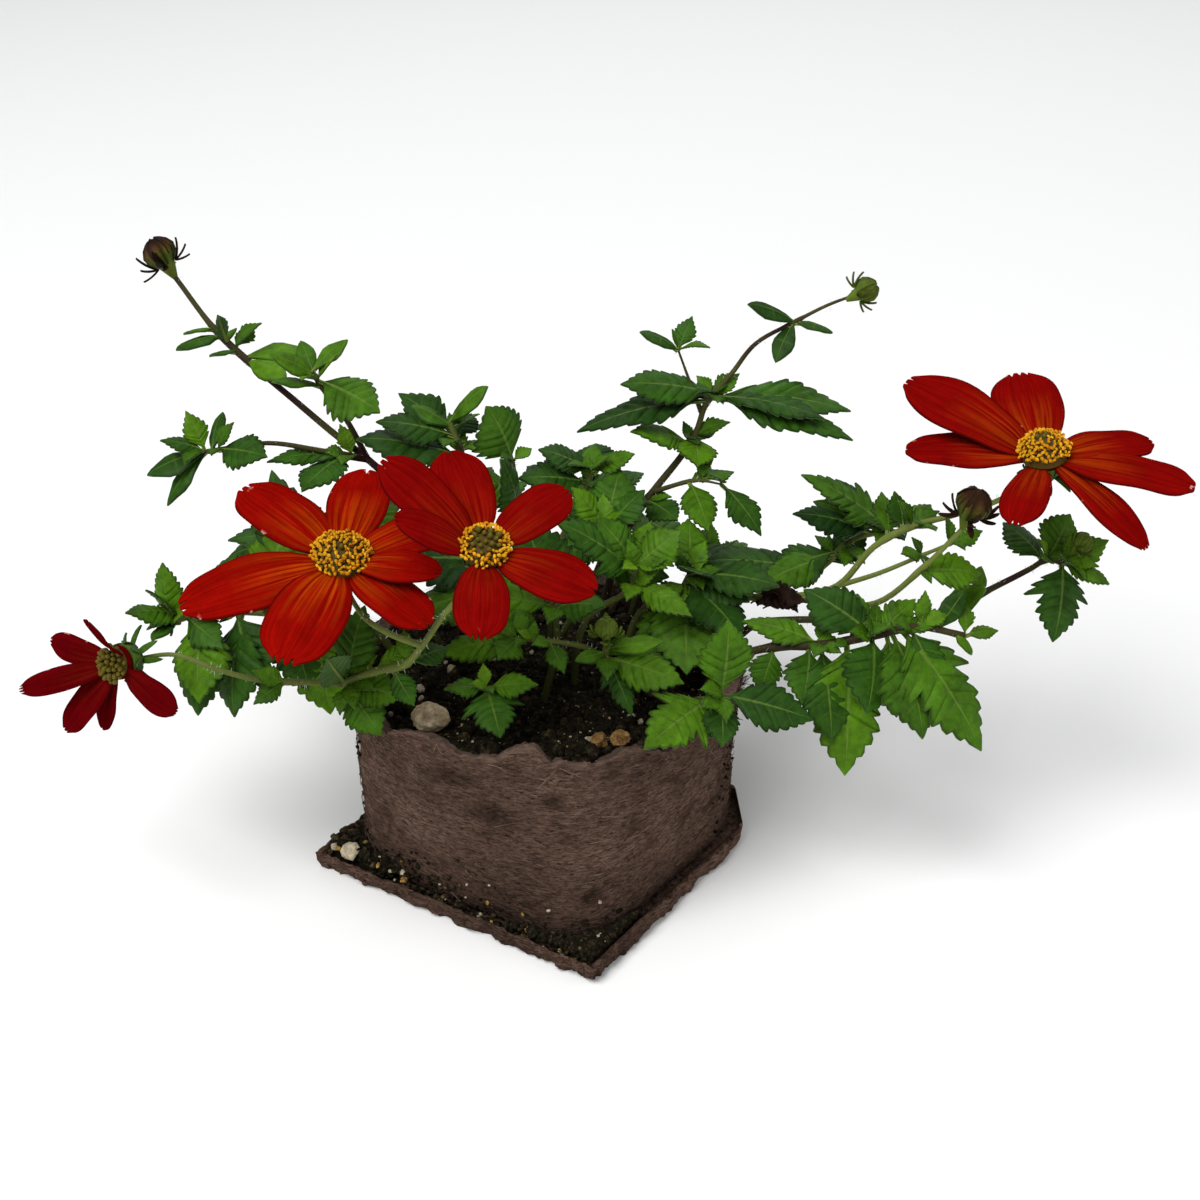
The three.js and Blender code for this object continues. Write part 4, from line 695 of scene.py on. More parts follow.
def blade(sheet, foot, tip, facing, half_width, tone, thick=0.4, arch=0.0, cup=0.0, relief=0.0,
          waves=0.0, phase=0.0):
    """A copy of the sheet, laid from foot to tip with its upper side facing that way. It arches along
    its length, its sides drop by the cup, and its edges wave."""
    copy = sheet.copy()
    copy.data = sheet.data.copy()
    bpy.context.scene.collection.objects.link(copy)
    s, w, side = vertices(sheet.data).T
    length = (tip - foot).length
    along = (tip - foot).normalized()
    up = square_to(along, facing)
    across = up.cross(along)
    rise = (thick * side * (1 - 0.5 * w ** 2) + arch * length * 4 * s * (1 - s) - cup * half_width * w ** 2
            + relief * length * values(sheet, "ridge") * np.sin(math.pi * np.clip(s, 0, 1))
            + waves * length * np.sin(s * 9 + phase) * w * np.abs(w))
    places = (np.array(foot) + np.outer(s * length, along) + np.outer(w * half_width, across)
              + np.outer(rise, up))
    set_vertices(copy.data, places * MM)
    set_values(copy, tone=tone)
    return copy


def leaf_facing(x, y):
    """Leaves face up, a little outwards and towards the front."""
    return Vector((x / 200, y / 150 - 0.4, 0.9)).normalized()


def stem_path(radius, points, joints, slimmer):
    """A stem that tapers, and swells where leaves grow from it, as positions and radii."""
    path = []
    for place, position in curve_points(points, 1 / 6):
        swell = sum(math.exp(-((place - joint) / JOINT_REACH) ** 2) for joint in joints)
        taper = 1 - slimmer * place / (len(points) - 1)
        path.append((position, radius * STEM_SHARE * taper * (1 + JOINT_SWELL * min(swell, 1))))
    return path


def midrib_path(foot, along, up, length):
    """The rib that stands out under a leaf, from its stalk almost to its tip."""
    path = []
    for share in np.linspace(0, 0.96, 9):
        rise = LEAF_ARCH * length * 4 * share * (1 - share) - 0.18
        path.append((foot + along * share * length + up * rise, 0.5 * (1 - share) ** 0.8 + 0.06))
    return path


def leafy_shoot(name, stems, leaves, sheets, materials, draw):
    """The finer stems and leaves of one shoot, in place of its node."""
    green, purple = SHOOT_TONES[name]
    slimmer = SLENDER_TAPER.get(name, TAPER)
    thick = []
    for i, (radius, points) in enumerate(stems):
        joints = [leaf[1] for leaf in leaves if leaf[0] == i]
        thick.append(stem_path(radius, points, joints, slimmer))
    ribs, blades = [], []
    for stem, place, x, y, z, width, outline in leaves:
        foot = on_curve(stems[stem][1], place)
        tip = Vector((x, y, z))
        length = (tip - foot).length
        along = (tip - foot).normalized()
        tilt = (leaf_facing(x, y) + Vector([draw.uniform(-0.2, 0.2) for _ in range(3)])).normalized()
        tone = green + draw.uniform(-0.33, 0.33) - 0.005 * (length - TYPICAL_LEAF)
        kind = "lance" if outline == "small" and width < NARROW else outline
        blades.append(blade(sheets[kind], foot, tip, tilt, LEAF_BREADTH * length * width / 200,
                            min(max(tone, 0), BRIGHTEST_LEAF), LEAF_THICK, LEAF_ARCH,
                            LEAF_CUP * draw.uniform(0.2, 1.8), LEAF_RELIEF, LEAF_WAVES,
                            draw.uniform(0, 6)))
        ribs.append(midrib_path(foot, along, square_to(along, tilt), length))
        if kind != "lance":
            blades.extend(young_leaves(foot, along, tilt, sheets["small"], green, draw))
    stem_piece = tubes(thick, 2)
    set_values(stem_piece, tone=purple)
    rib_piece = tubes(ribs, 0)
    set_values(rib_piece, tone=0)
    finish(joined([stem_piece, rib_piece]), name.replace("shoot", "stems"), materials["stem"],
           [name], 60)
    finish(joined(blades), name.replace("shoot", "leaves"), materials["leaf"], [name])


def young_leaves(foot, along, facing, sheet, green, draw):
    """Up to two small leaves that open where a leaf leaves its stem."""
    side = facing.cross(along).normalized()
    small = []
    for sign in (-1, 1):
        if draw.random() < 0.35:
            continue
        reach = draw.uniform(4, 8.5)
        aim = (side * sign * draw.uniform(0.5, 1) + along * draw.uniform(-0.2, 0.8)
               + facing * draw.uniform(0.1, 0.9)).normalized()
        small.append(blade(sheet, foot, foot + aim * reach, facing, reach * 0.3,
                           min(green + draw.uniform(0, 0.35), 1), thick=0.35, arch=0.1, cup=-0.2,
                           relief=LEAF_RELIEF))
    return small


def withered_leaf(sheet, material, draw):
    """A dead brown leaf, crumpled between the stems at the right."""
    blades = []
    for foot, tip, half_width in WITHERED:
        facing = Vector((draw.uniform(-0.4, 0.4), -0.6, 0.8)).normalized()
        blades.append(blade(sheet, Vector(foot), Vector(tip), facing, half_width, draw.uniform(0, 1),
                            thick=0.3, arch=0.2, cup=-0.4, relief=0.03, waves=0.12,
                            phase=draw.uniform(0, 6)))
    finish(joined(blades), "withered_leaf", material)


def hair_places(stems, draw):
    """Hairs on the stems, thick near the points of each: [matrix, tone] for one hair."""
    placings = []
    for radius, points in stems:
        knots = curve_points(points, 0.03)
        for (_, last), (place, position) in zip(knots, knots[1:]):
            if position.z < SOIL_TOP + 1:
                continue
            near = 1 - min(abs(place - round(place)) * 4, 1)
            if draw.random() > 0.25 + 0.7 * near:
                continue
            along = (position - last).normalized()
            side = along.orthogonal().normalized()
            out = Matrix.Rotation(draw.uniform(0, math.tau), 3, along) @ side
            aim = (out + along * draw.uniform(-0.3, 0.5)).normalized()
            scale = draw.uniform(0.5, 1.2) + near * 0.5
            placings.append((along_axis(aim, position + out * radius * 0.7, scale), 1))
    return placings


def stem_hairs(stems, material, draw):
    """Pale three-sided hairs all along the stems."""
    pick()
    bpy.ops.mesh.primitive_cone_add(vertices=3, radius1=HAIR_RADIUS * MM, radius2=0,
                                    depth=HAIR_LENGTH * MM,
                                    location=(0, 0, (HAIR_LENGTH / 2 - HAIR_SUNK) * MM))
    hair = bpy.context.object
    apply_place(hair)
    finish(many(hair, hair_places(stems, draw), "hairs"), "stem_hairs", material, (), 60)
    discard(hair)


# Flowers and buds

def petal_head(name, centre, axis, petals, sheets, orange, crimson, material, draw):
    """The petals, each with its own notched tip, and the plate that their feet are sunk in."""
    start = centre + axis * PETAL_FOOT_RISE
    blades = []
    for i, (x, y, z, width) in enumerate(petals):
        tip = Vector((x, y, z))
        aim = square_to(axis, tip - start)
        foot = start + aim * PLATE_RADIUS * PETAL_FOOT_REACH + axis * 0.25 * (i % 2)
        petal = blade(sheets[i % len(sheets)], foot, tip, axis, (tip - foot).length * width / 200, crimson,
                      PETAL_THICK, PETAL_ARCH, PETAL_CUP, PETAL_FOLD, PETAL_WAVES, draw.uniform(0, 6))
        set_values(petal, orange=orange * draw.uniform(0.7, 1.3))
        blades.append(petal)
    pick()
    bpy.ops.mesh.primitive_cylinder_add(vertices=28, radius=PLATE_RADIUS * 0.75 * MM,
                                        depth=PLATE_THICK * MM)
    plate = bpy.context.object
    edit(plate, selected="SELECT")
    bpy.ops.mesh.bevel(offset=0.3 * MM, segments=2, affect="EDGES")
    leave_edit()
    apply_place(plate, along_axis(axis, centre + axis * PLATE_THICK / 2))
    set_values(plate, tone=crimson)
    finish(joined([plate, *blades[::-1]]), f"petals_{name}", material, [f"petals_{name}"])


def open_floret():
    """A brown tube with a flared mouth, and two thick golden arms that curl out of it."""
    pick()
    bpy.ops.mesh.primitive_cylinder_add(vertices=7, radius=0.32 * MM, depth=1.4 * MM,
                                        location=(0, 0, 0.7 * MM))
    tube = bpy.context.object
    shape = edit(tube, "FACE")
    top = max(shape.faces, key=lambda face: face.calc_center_median().z)
    top.select_set(True)
    shape.select_flush_mode()
    extrude_up(0.35)
    bpy.ops.transform.resize(value=(1.5, 1.5, 1))
    bpy.ops.mesh.inset(thickness=0.2 * MM)
    extrude_up(0.3)
    leave_edit()
    height = vertices(tube.data)[:, 2] / MM
    set_values(tube, shade=np.clip(0.9 - height / 1.8, 0.12, 0.8))
    bow = [(0.05, 1.75, 0.19), (0.17, 2.12, 0.25), (0.38, 2.36, 0.29), (0.58, 2.34, 0.28), (0.68, 2.1, 0.2)]
    arms = [[(Vector((sign * x, 0.1 * sign, z)), radius) for x, z, radius in bow] for sign in (-1, 1)]
    curls = tubes(arms, 0)
    set_values(curls, shade=0)
    return joined([tube, curls])


def closed_floret():
    """A small upright egg."""
    pick()
    bpy.ops.mesh.primitive_uv_sphere_add(segments=7, ring_count=6, radius=0.5 * MM,
                                         location=(0, 0, 0.5 * MM))
    egg = bpy.context.object
    bpy.ops.transform.resize(value=(1, 1, 1.5))
    apply_place(egg)
    set_values(egg, shade=1)
    return egg


def flower_disc(name, centre, axis, radius, florets, templates, material, draw):
    """A dome with florets in a golden-angle spiral: open ones outside, closed ones inside."""
    count, closed, tall = florets
    base = centre + axis * (PLATE_THICK + 0.1)
    pick()
    bpy.ops.mesh.primitive_uv_sphere_add(segments=24, ring_count=14, radius=radius * DOME_REACH * MM)
    dome = bpy.context.object
    bpy.ops.transform.resize(value=(1, 1, tall))
    apply_place(dome)
    edit(dome, selected="SELECT")
    bpy.ops.mesh.bisect(plane_co=(0, 0, 0), plane_no=(0, 0, 1), clear_inner=True, use_fill=True)
    leave_edit()
    apply_place(dome, along_axis(axis, base))
    set_values(dome, tone=0.5, shade=0.8)
    side = Vector((1, 0, 0)).cross(axis).normalized()
    open_ones, closed_ones = [], []
    for i in range(count):
        share = math.sqrt((i + 0.5) / count)
        out = Matrix.Rotation(i * GOLDEN_ANGLE, 3, axis) @ side
        down = share * DISC_EDGE
        lean = down * FLORET_LEAN + draw.uniform(-0.2, 0.2)
        aim = axis * math.cos(lean) + out * math.sin(lean)
        foot = (base + out * math.sin(down) * radius * FLORET_REACH
                + axis * math.cos(down) * radius * tall * FLORET_RISE)
        if share < closed:
            closed_ones.append((along_axis(aim, foot + aim * 0.6, draw.uniform(0.85, 1.1)), 0.5))
        else:
            scale = draw.uniform(0.8, 1.12)
            open_ones.append((along_axis(aim, foot, scale, draw.uniform(0, 6)), draw.uniform(0, 1)))
    parts = [many(template, places, "florets")
             for template, places in zip(templates, (open_ones, closed_ones)) if places]
    finish(joined([dome, *parts]), f"disc_{name}", material, [f"disc_{name}"], 70)


def ring_of_bracts(foot, axis, count, start, lean, reach, breadth, sheet, tone, draw, arch=0.12):
    """Slender blades round an axis. lean is the angle above the plane square to the axis."""
    out = Vector((1, 0, 0)).cross(axis).normalized()
    blades = []
    for i in range(count):
        turned = Matrix.Rotation(i / count * math.tau + draw.uniform(-0.1, 0.1), 3, axis) @ out
        aim = turned * math.cos(lean) + axis * math.sin(lean)
        facing = (axis * math.cos(lean) - turned * math.sin(lean)).normalized()
        base = foot + turned * start
        tip = base + aim * reach * draw.uniform(0.85, 1.05)
        blades.append(blade(sheet, base, tip, facing, breadth / 2, tone, arch=arch, cup=0.2))
    return blades


def calyx(name, centre, axis, sheet, material, draw):
    """The green cup under the petals, with its outer bracts spread and its inner ones upright."""
    pick()
    bpy.ops.mesh.primitive_cone_add(vertices=20, radius1=1.0 * MM, radius2=(CALYX_RADIUS - 0.3) * MM,
                                    depth=CALYX_HEIGHT * MM)
    cup = bpy.context.object
    edit(cup, selected="SELECT")
    bpy.ops.mesh.subdivide(number_cuts=2, smoothness=1)
    leave_edit()
    middle = centre - axis * (GAP + CALYX_HEIGHT / 2)
    apply_place(cup, along_axis(axis, middle))
    set_values(cup, tone=0.35)
    outer = ring_of_bracts(middle, axis, 8, start=1.4, lean=-0.5, reach=5.5, breadth=1.3, sheet=sheet,
                           tone=0.45, draw=draw)
    inner = ring_of_bracts(middle - axis * 1.2, axis, 8, start=1.5, lean=0.95, reach=4.2, breadth=2.6,
                           sheet=sheet, tone=0.3, draw=draw, arch=-0.1)
    finish(joined([cup, *outer, *inner]), f"calyx_{name}", material)


def bud_wrap(centre, axis, radius, dark, sheet, draw):
    """Two layers of broad bracts that close over the bud, dark at their edges and tips."""
    wrap = []
    for turned, size in ((0, 0.98), (math.pi / 8, 0.92)):
        ring = ring_of_bracts(centre - axis * radius * 0.85 * size, axis, 8, start=radius * 0.52 * size,
                              lean=1.7, reach=radius * 1.85 * size, breadth=radius * 0.8, sheet=sheet,
                              tone=dark, draw=draw, arch=-0.3 * size)
        spin = Matrix.Rotation(turned, 3, axis)
        for bract in ring:
            moved(bract, lambda p: centre + spin @ (p - centre))
            height = (vertices(bract.data) / MM - np.array(centre)) @ np.array(axis) / radius
            seam = np.maximum(values(bract, "across") ** 2 * 0.95, (height - 0.25) * 1.7)
            set_values(bract, tone=dark * np.clip((height + 0.8) / 1.5, 0, 1),
                       shade=np.clip(seam, 0, 1) * (0.25 + 0.75 * dark))
        wrap += ring
    return wrap


def bud(name, centre, axis, radius, dark, node, sheet, material, draw):
    """A bud wrapped in broad bracts, in a cup with slender bracts round it."""
    pick()
    bpy.ops.mesh.primitive_uv_sphere_add(segments=32, ring_count=16, radius=radius * 0.92 * MM)
    egg = bpy.context.object
    apply_place(egg, along_axis(axis, centre))
    set_values(egg, tone=dark, shade=0.3 + 0.6 * dark)
    wrap = bud_wrap(centre, axis, radius, dark, sheet, draw)
    finish(joined([egg, *wrap]), f"{name}_head", material,
           [node] if node else ())
    spikes = []
    for lean, reach in ((-0.15, 1.15), (0.45, 1.3), (1.0, 1.5)):
        spikes += ring_of_bracts(centre - axis * radius * 0.85, axis, 4, start=radius * 0.62, lean=lean,
                                 reach=radius * reach, breadth=1.3, sheet=sheet, tone=dark, draw=draw,
                                 arch=-0.06)
    for spike in spikes:
        set_values(spike, shade=0.2 + 0.8 * dark)
    pick()
    bpy.ops.mesh.primitive_cone_add(vertices=14, radius1=0.45 * MM, radius2=radius * 0.6 * MM,
                                    depth=radius * 1.15 * MM)
    cup = bpy.context.object
    apply_place(cup, along_axis(axis, centre - axis * radius * 1.3))
    set_values(cup, tone=dark * 0.3, shade=0)
    finish(joined([cup, *spikes]), f"{name}_cup", material)


# Pot

def rim_rise(turn):
    """What wear adds to the rim's height in a direction, or takes off it."""
    degrees = math.degrees(turn) % 360
    rise = 0
    for at, half, height in RIM_WEAR:
        off = abs((degrees - at + 540) % 360 - 180) / half
        if off < 1:
            rise += height * (1 - off * off)
    return rise


def pot_radius(turn, z):
    """The pot's outer radius in a direction at a height: a rounded square below, a circle above."""
    local = turn - TRAY_TURN
    spread = abs(math.cos(local)) ** POT_SQUARENESS + abs(math.sin(local)) ** POT_SQUARENESS
    base = POT_BASE_HALF / spread ** (1 / POT_SQUARENESS)
    share = (z - POT_BOTTOM) / (POT_RIM_HEIGHT - POT_BOTTOM)
    return base + (POT_RIM_RADIUS - base) * share


def pot_surface(p):
    """Where a point of the round pot lies on the worn one, whose fibres run round it."""
    turn = math.atan2(p.y, p.x)
    inset = POT_RIM_RADIUS - math.hypot(p.x, p.y)
    radius = pot_radius(turn, p.z) - inset
    around = Vector((math.cos(turn), math.sin(turn), 0))
    worn = max(0, (p.z - WORN_FROM) / (POT_RIM_HEIGHT - WORN_FROM))
    z = p.z
    if p.z > POT_RIM_HEIGHT - 0.1:
        z -= RIM_SLOPE * inset
        z += RIM_FRAY * noise.fractal(around * 14 + Vector((0, 0, inset * 0.5)), 0.6, 2, 5)
    z += worn * (rim_rise(turn) + RIM_UNEVEN * noise.noise(around * 6.5))
    fibre = noise.fractal(Vector((around.x * 16, around.y * 16, p.z * 1.1)), 0.7, 2, 4)
    dent = noise.noise(Vector((around.x * 4, around.y * 4, p.z * 0.12)))
    fine = noise.fractal(Vector((around.x * 34, around.y * 34, p.z * 1.2)), 0.7, 2, 3)
    if inset < 0.1:
        radius += FIBRE_RELIEF * fibre + DENT_DEPTH * dent + FINE_RELIEF * fine - 0.2
    elif z > SOIL_TOP - 4:
        radius += FIBRE_RELIEF * fibre
    if p.z < POT_BOTTOM + 0.1:
        radius -= POT_FOOT_INSET
    return around * radius + Vector((0, 0, z))


def pot(material):
    """Pressed fibre: a disc is extruded up in rings, inset at the rim and extruded down inside."""
    pick()
    bpy.ops.mesh.primitive_circle_add(vertices=POT_FACETS, radius=POT_RIM_RADIUS * MM, fill_type="NGON",
                                      location=(0, 0, POT_BOTTOM * MM))
    piece = bpy.context.object
    apply_place(piece)
    edit(piece, selected="SELECT")
    ring = (POT_RIM_HEIGHT - POT_BOTTOM) / POT_RINGS
    for _ in range(POT_RINGS):
        extrude_up(ring)
    for _ in range(RIM_RINGS):
        bpy.ops.mesh.inset(thickness=POT_WALL / RIM_RINGS * MM)
    for _ in range(POT_INNER_RINGS):
        extrude_up(-ring)
    extrude_up(POT_INNER_RINGS * ring - (POT_RIM_HEIGHT - POT_BOTTOM - POT_FLOOR))
    turn_faces_out()

    flat = vertices(piece.data) / MM
    soiled = np.clip((POT_RIM_RADIUS - np.hypot(flat[:, 0], flat[:, 1]) - 0.3) / 1.1, 0, 1)
    moved(piece, pot_surface)
    places = vertices(piece.data) / MM
    stain = np.where(flat[:, 2] > WORN_FROM, soiled, 0)
    for x, y, z, reach in POT_STAINS:
        away = np.linalg.norm((places - (x, y, z)) * (1, 1, 1.25), axis=1)
        stain = np.maximum(stain, np.clip(1.5 - 1.5 * away / reach, 0, 1))
    set_values(piece, tone=np.clip(flat[:, 2] - POT_RIM_HEIGHT + 1, 0, 1), stain=stain)
    finish(piece, "pot_wall", material, ["pot"], 80)


def fibre_path(turn, z, length, slope, lift, bend, thick):
    """A fibre that leaves the wall at a place and stands off it more and more, as positions and radii."""
    path = []
    for step in range(7):
        share = step / 6
        reach = share * length / math.hypot(1, slope)
        direction = turn + reach / 38
        top = POT_RIM_HEIGHT + rim_rise(direction) * 0.9
        height = min(max(z + reach * slope + bend * reach * reach, 2.5), top)
        radius = pot_radius(direction, min(height, POT_RIM_HEIGHT)) + 0.1 + lift * share * share * 2
        path.append((polar(direction, radius, height), thick * (1 - 0.6 * share)))
    return path


def loose_fibres(material, draw):
    """Single fibres on the pot's wall: every third one stands off its rim, and one in 16 is pale."""
    dark, pale = [], []
    for i in range(LOOSE_FIBRES):
        at_side = i >= SIDE_FIBRES_FROM
        turn = math.radians(draw.gauss(FIBRE_SIDES[i % 2], 9)) if at_side else draw.uniform(0, math.tau)
        z = draw.uniform(3, 44) if i % 3 else draw.uniform(38, 45)
        length = draw.uniform(1.5, 6)
        slope = draw.gauss(0, 0.5) if i % 9 else draw.uniform(1, 4)
        lift = draw.uniform(0.0, 0.2) if i % 3 else draw.uniform(0.4, 1.1)
        bend = draw.uniform(-0.07, 0.07)
        thick = draw.uniform(0.08, 0.16) if at_side else draw.uniform(0.04, 0.09)
        (dark if i % 16 else pale).append(fibre_path(turn, z, length, slope, lift, bend, thick))
    pieces = []
    for paths, tone in ((dark, 0.3), (pale, 0.9)):
        piece = tubes(paths, 0)
        set_values(piece, tone=tone)
        pieces.append(piece)
    finish(joined(pieces), "loose_fibres", material, (), 60)


# Tray

def frayed_edge(p, local, edge, share):
    """How far an edge of the tray's sheet is frayed outwards, and drawn in below its lip."""
    half = TRAY_SIDE / 2
    near = max(1 - edge / FRAYED, 0) ** 1.5
    uneven = noise.fractal(Vector((p.x, p.y, share * 3)) * 0.9, 0.8, 2, 4)
    reach = near * (0.5 + 0.5 * math.sin(math.pi * min(share * 0.8 + 0.15, 1)))
    reach *= 0.9 + 0.8 * noise.noise(p * 0.16) + 0.9 * uneven
    drawn_in = near * (1.3 + 1.2 * noise.noise(p * 0.3)) * (1 - share) ** 1.5
    frayed = Vector((reach if local.x > half - FRAYED else 0, -reach if local.y < FRAYED - half else 0, 0))
    frayed -= Vector((math.copysign(drawn_in, local.x) if abs(local.x) > half - FRAYED else 0,
                      math.copysign(drawn_in, local.y) if abs(local.y) > half - FRAYED else 0, 0))
    frayed.rotate(Matrix.Rotation(TRAY_TURN, 3, "Z"))
    return frayed


def tray_surface(p):
    """Where a point of the flat sheet lies on the tray, with its lip and its torn and frayed edges."""
    local = Matrix.Rotation(-TRAY_TURN, 3, "Z") @ p
    edge = TRAY_SIDE / 2 - max(abs(local.x), abs(local.y))
    share = (p.z - 0.05) / (TRAY_THICK - 0.1)
    torn = max(0, p.x - TORN_AT + 1.5) * 0.7 * (1 + noise.noise(p * 0.5))
    width = LIP_WIDTH_RIGHT if local.x > abs(local.y) else LIP_WIDTH
    turned_up = min(max((width - edge) / (width - 0.2), 0), 1)
    grain = noise.fractal(p * 0.55, 0.8, 2, 4)
    top = TRAY_THICK + (TRAY_LIP - TRAY_THICK) * turned_up ** 2 * (3 - 2 * turned_up)
    top += TRAY_GRAIN * grain - turned_up * (1.1 * max(grain, 0) + 0.8 * abs(noise.noise(p * 0.22)))
    return Vector((p.x - torn, p.y, 0.05 + share * (top - 0.05))) + frayed_edge(p, local, edge, share)


def tray(material):
    """A square sheet of fibre with its edges turned up, and the right corner torn off."""
    pick()
    bpy.ops.mesh.primitive_grid_add(x_subdivisions=TRAY_CELLS, y_subdivisions=TRAY_CELLS, size=2)
    piece = bpy.context.object
    places = vertices(piece.data)[:, :2]
    flat = np.sign(places) * (1 - (1 - np.abs(places)) ** 1.7) * TRAY_SIDE / 2
    set_vertices(piece.data, np.c_[flat, np.full(len(flat), TRAY_THICK / 2)] * MM)
    apply_modifier(piece, "SOLIDIFY", thickness=(TRAY_THICK - 0.1) * MM, offset=0)
    apply_place(piece, Matrix.Rotation(TRAY_TURN, 4, "Z"))
    edit(piece, selected="SELECT")
    bpy.ops.mesh.bisect(plane_co=(TORN_AT * MM, 0, 0), plane_no=(1, 0, 0), clear_outer=True,
                        use_fill=True)
    leave_edit()
    shape = edit(piece, "EDGE")
    for edge in shape.edges:
        edge.select = abs(edge.verts[0].co.z - edge.verts[1].co.z) > TRAY_THICK / 2 * MM
    bpy.ops.mesh.subdivide(number_cuts=3)
    leave_edit()
    moved(piece, tray_surface)
    finish(piece, "tray_sheet", material, ["tray"], 60)


# Soil, crumbs and stones

def soil_height(x, y):
    """Height of the soil's top."""
    lump = noise.fractal(Vector((x * 0.16, y * 0.16, 0)), 0.8, 2, 4)
    return SOIL_TOP + math.sin(x * 0.35) * math.cos(y * 0.3 + 1) * 0.9 + 1.0 * lump


def soil_place(p):
    """Where a point of a round filling lies in the pot, which is squarer below."""
    turn = math.atan2(p.y, p.x)
    inset = POT_RIM_RADIUS - math.hypot(p.x, p.y)
    radius = pot_radius(turn, p.z) - inset if inset < 12 else math.hypot(p.x, p.y)
    place = polar(turn, radius, p.z)
    if p.z > SOIL_TOP - 0.5:
        place.z = soil_height(place.x, place.y)
    return place


def soil_body(material):
    """The pot's filling: a disc extruded up in three steps and inset in rings at its uneven top."""
    low = POT_BOTTOM + POT_FLOOR + GAP
    pick()
    bpy.ops.mesh.primitive_circle_add(vertices=SOIL_FACETS, radius=(POT_RIM_RADIUS - POT_WALL - 0.4) * MM,
                                      fill_type="NGON", location=(0, 0, low * MM))
    piece = bpy.context.object
    apply_place(piece)
    edit(piece, selected="SELECT")
    for step in (12, SOIL_TOP - 1 - low - 12, 1):
        extrude_up(step)
    for _ in range(SOIL_RINGS):
        bpy.ops.mesh.inset(thickness=SOIL_RING * MM)
    turn_faces_out()
    moved(piece, soil_place)
    finish(piece, "soil_filling", material, ["soil"], 80)


def crumb_templates():
    """Three lumps of soil, each an uneven ball of a few dozen faces, a millimetre in radius."""
    lumps = []
    for i in range(3):
        pick()
        bpy.ops.mesh.primitive_ico_sphere_add(subdivisions=2, radius=MM)
        shift = Vector((i * 7.1, 3.3, 1.7))
        lumps.append(moved(bpy.context.object,
                           lambda p, shift=shift: p * (1 + 0.55 * noise.noise(p * 1.3 + shift))))
    return lumps


def crumbs(spots, lumps, name, material, draw):
    """Crumbs at the spots: [position, radius]. Large ones are never of the golden tones."""
    groups = [[] for _ in lumps]
    for i, (position, radius) in enumerate(spots):
        turn = Matrix.Rotation(draw.uniform(0, 6), 4, "X") @ Matrix.Rotation(draw.uniform(0, 6), 4, "Z")
        squash = Matrix.Diagonal((radius, radius * draw.uniform(0.6, 1), radius * draw.uniform(0.5, 0.9), 1))
        matrix = Matrix.Translation(position * MM) @ turn @ squash
        groups[i % len(lumps)].append((matrix, draw.random() * (1 if radius < LARGE_CRUMB else 0.9)))
    parts = [many(lump, group, "crumbs") for lump, group in zip(lumps, groups) if group]
    finish(joined(parts), name, material, (), 80)


def wall_spots(count, smallest, largest, draw):
    """Places of crumbs that stick to the foot of the pot's wall, most of them at the front left."""
    spots = []
    for _ in range(count):
        turn = math.radians(draw.gauss(228, 30))
        z = 3 + abs(draw.gauss(0, 4.5))
        size = draw.uniform(smallest, largest)
        spots.append((polar(turn, pot_radius(turn, z) + size * 0.15, z), size))
    return spots


def side_spots(count, smallest, largest, draw):
    """Places of dark tufts and crumbs on the pot's left and right sides."""
    spots = []
    for i in range(count):
        turn = math.radians(draw.gauss(CRUMB_SIDES[i % 2], 7))
        z = draw.uniform(5, 43)
        spots.append((polar(turn, pot_radius(turn, z) + 0.1, z), draw.uniform(smallest, largest)))
    return spots


def edge_spots(count, smallest, largest, draw):
    """Places of crumbs along the tray's front left edge, between its two filled corners."""
    turn = Matrix.Rotation(TRAY_TURN, 3, "Z")
    spots = []
    for _ in range(count):
        x = draw.uniform(-33, 33)
        y = -TRAY_SIDE / 2 + draw.uniform(0.8, 3.2)
        size = draw.uniform(smallest, largest)
        lip = TRAY_LIP * max(0, 1 - (y + TRAY_SIDE / 2 - 0.8) / 1.8) ** 2
        spots.append((turn @ Vector((x, y, TRAY_THICK + lip + size * 0.1)), size))
    return spots


def soil_spots(count, smallest, largest, draw):
    """Places of crumbs on the pot's soil. Most are small."""
    spots = []
    for _ in range(count):
        turn = draw.uniform(0, math.tau)
        place = polar(turn, math.sqrt(draw.random()) * (POT_RIM_RADIUS - POT_WALL - 1), 0)
        size = smallest + (largest - smallest) * draw.random() ** 2.5
        place.z = soil_height(place.x, place.y) + size * 0.2
        spots.append((place, size))
    return spots


def spill_spots(corner, height, count, smallest, largest, draw):
    """Places of crumbs in a corner of the tray, counted anticlockwise from the right one."""
    turn = Matrix.Rotation(TRAY_TURN + corner * math.pi / 2, 3, "Z")
    edge = TRAY_SIDE / 2 - TRAY_THICK - 0.6
    spots = []
    while len(spots) < count:
        x, y = draw.uniform(12, edge), draw.uniform(12, edge)
        world = turn @ Vector((x, y, 0))
        away = math.hypot(x, y) - pot_radius(math.atan2(world.y, world.x), 4)
        if away < 0.3 or x + y < 40:
            continue
        size = smallest + (largest - smallest) * draw.random() ** 2
        top = TRAY_THICK + GAP + height * min(1, (x + y - 38) / 12)
        spots.append((Vector((world.x, world.y, top * draw.uniform(0.85, 1.05))), size))
    return spots


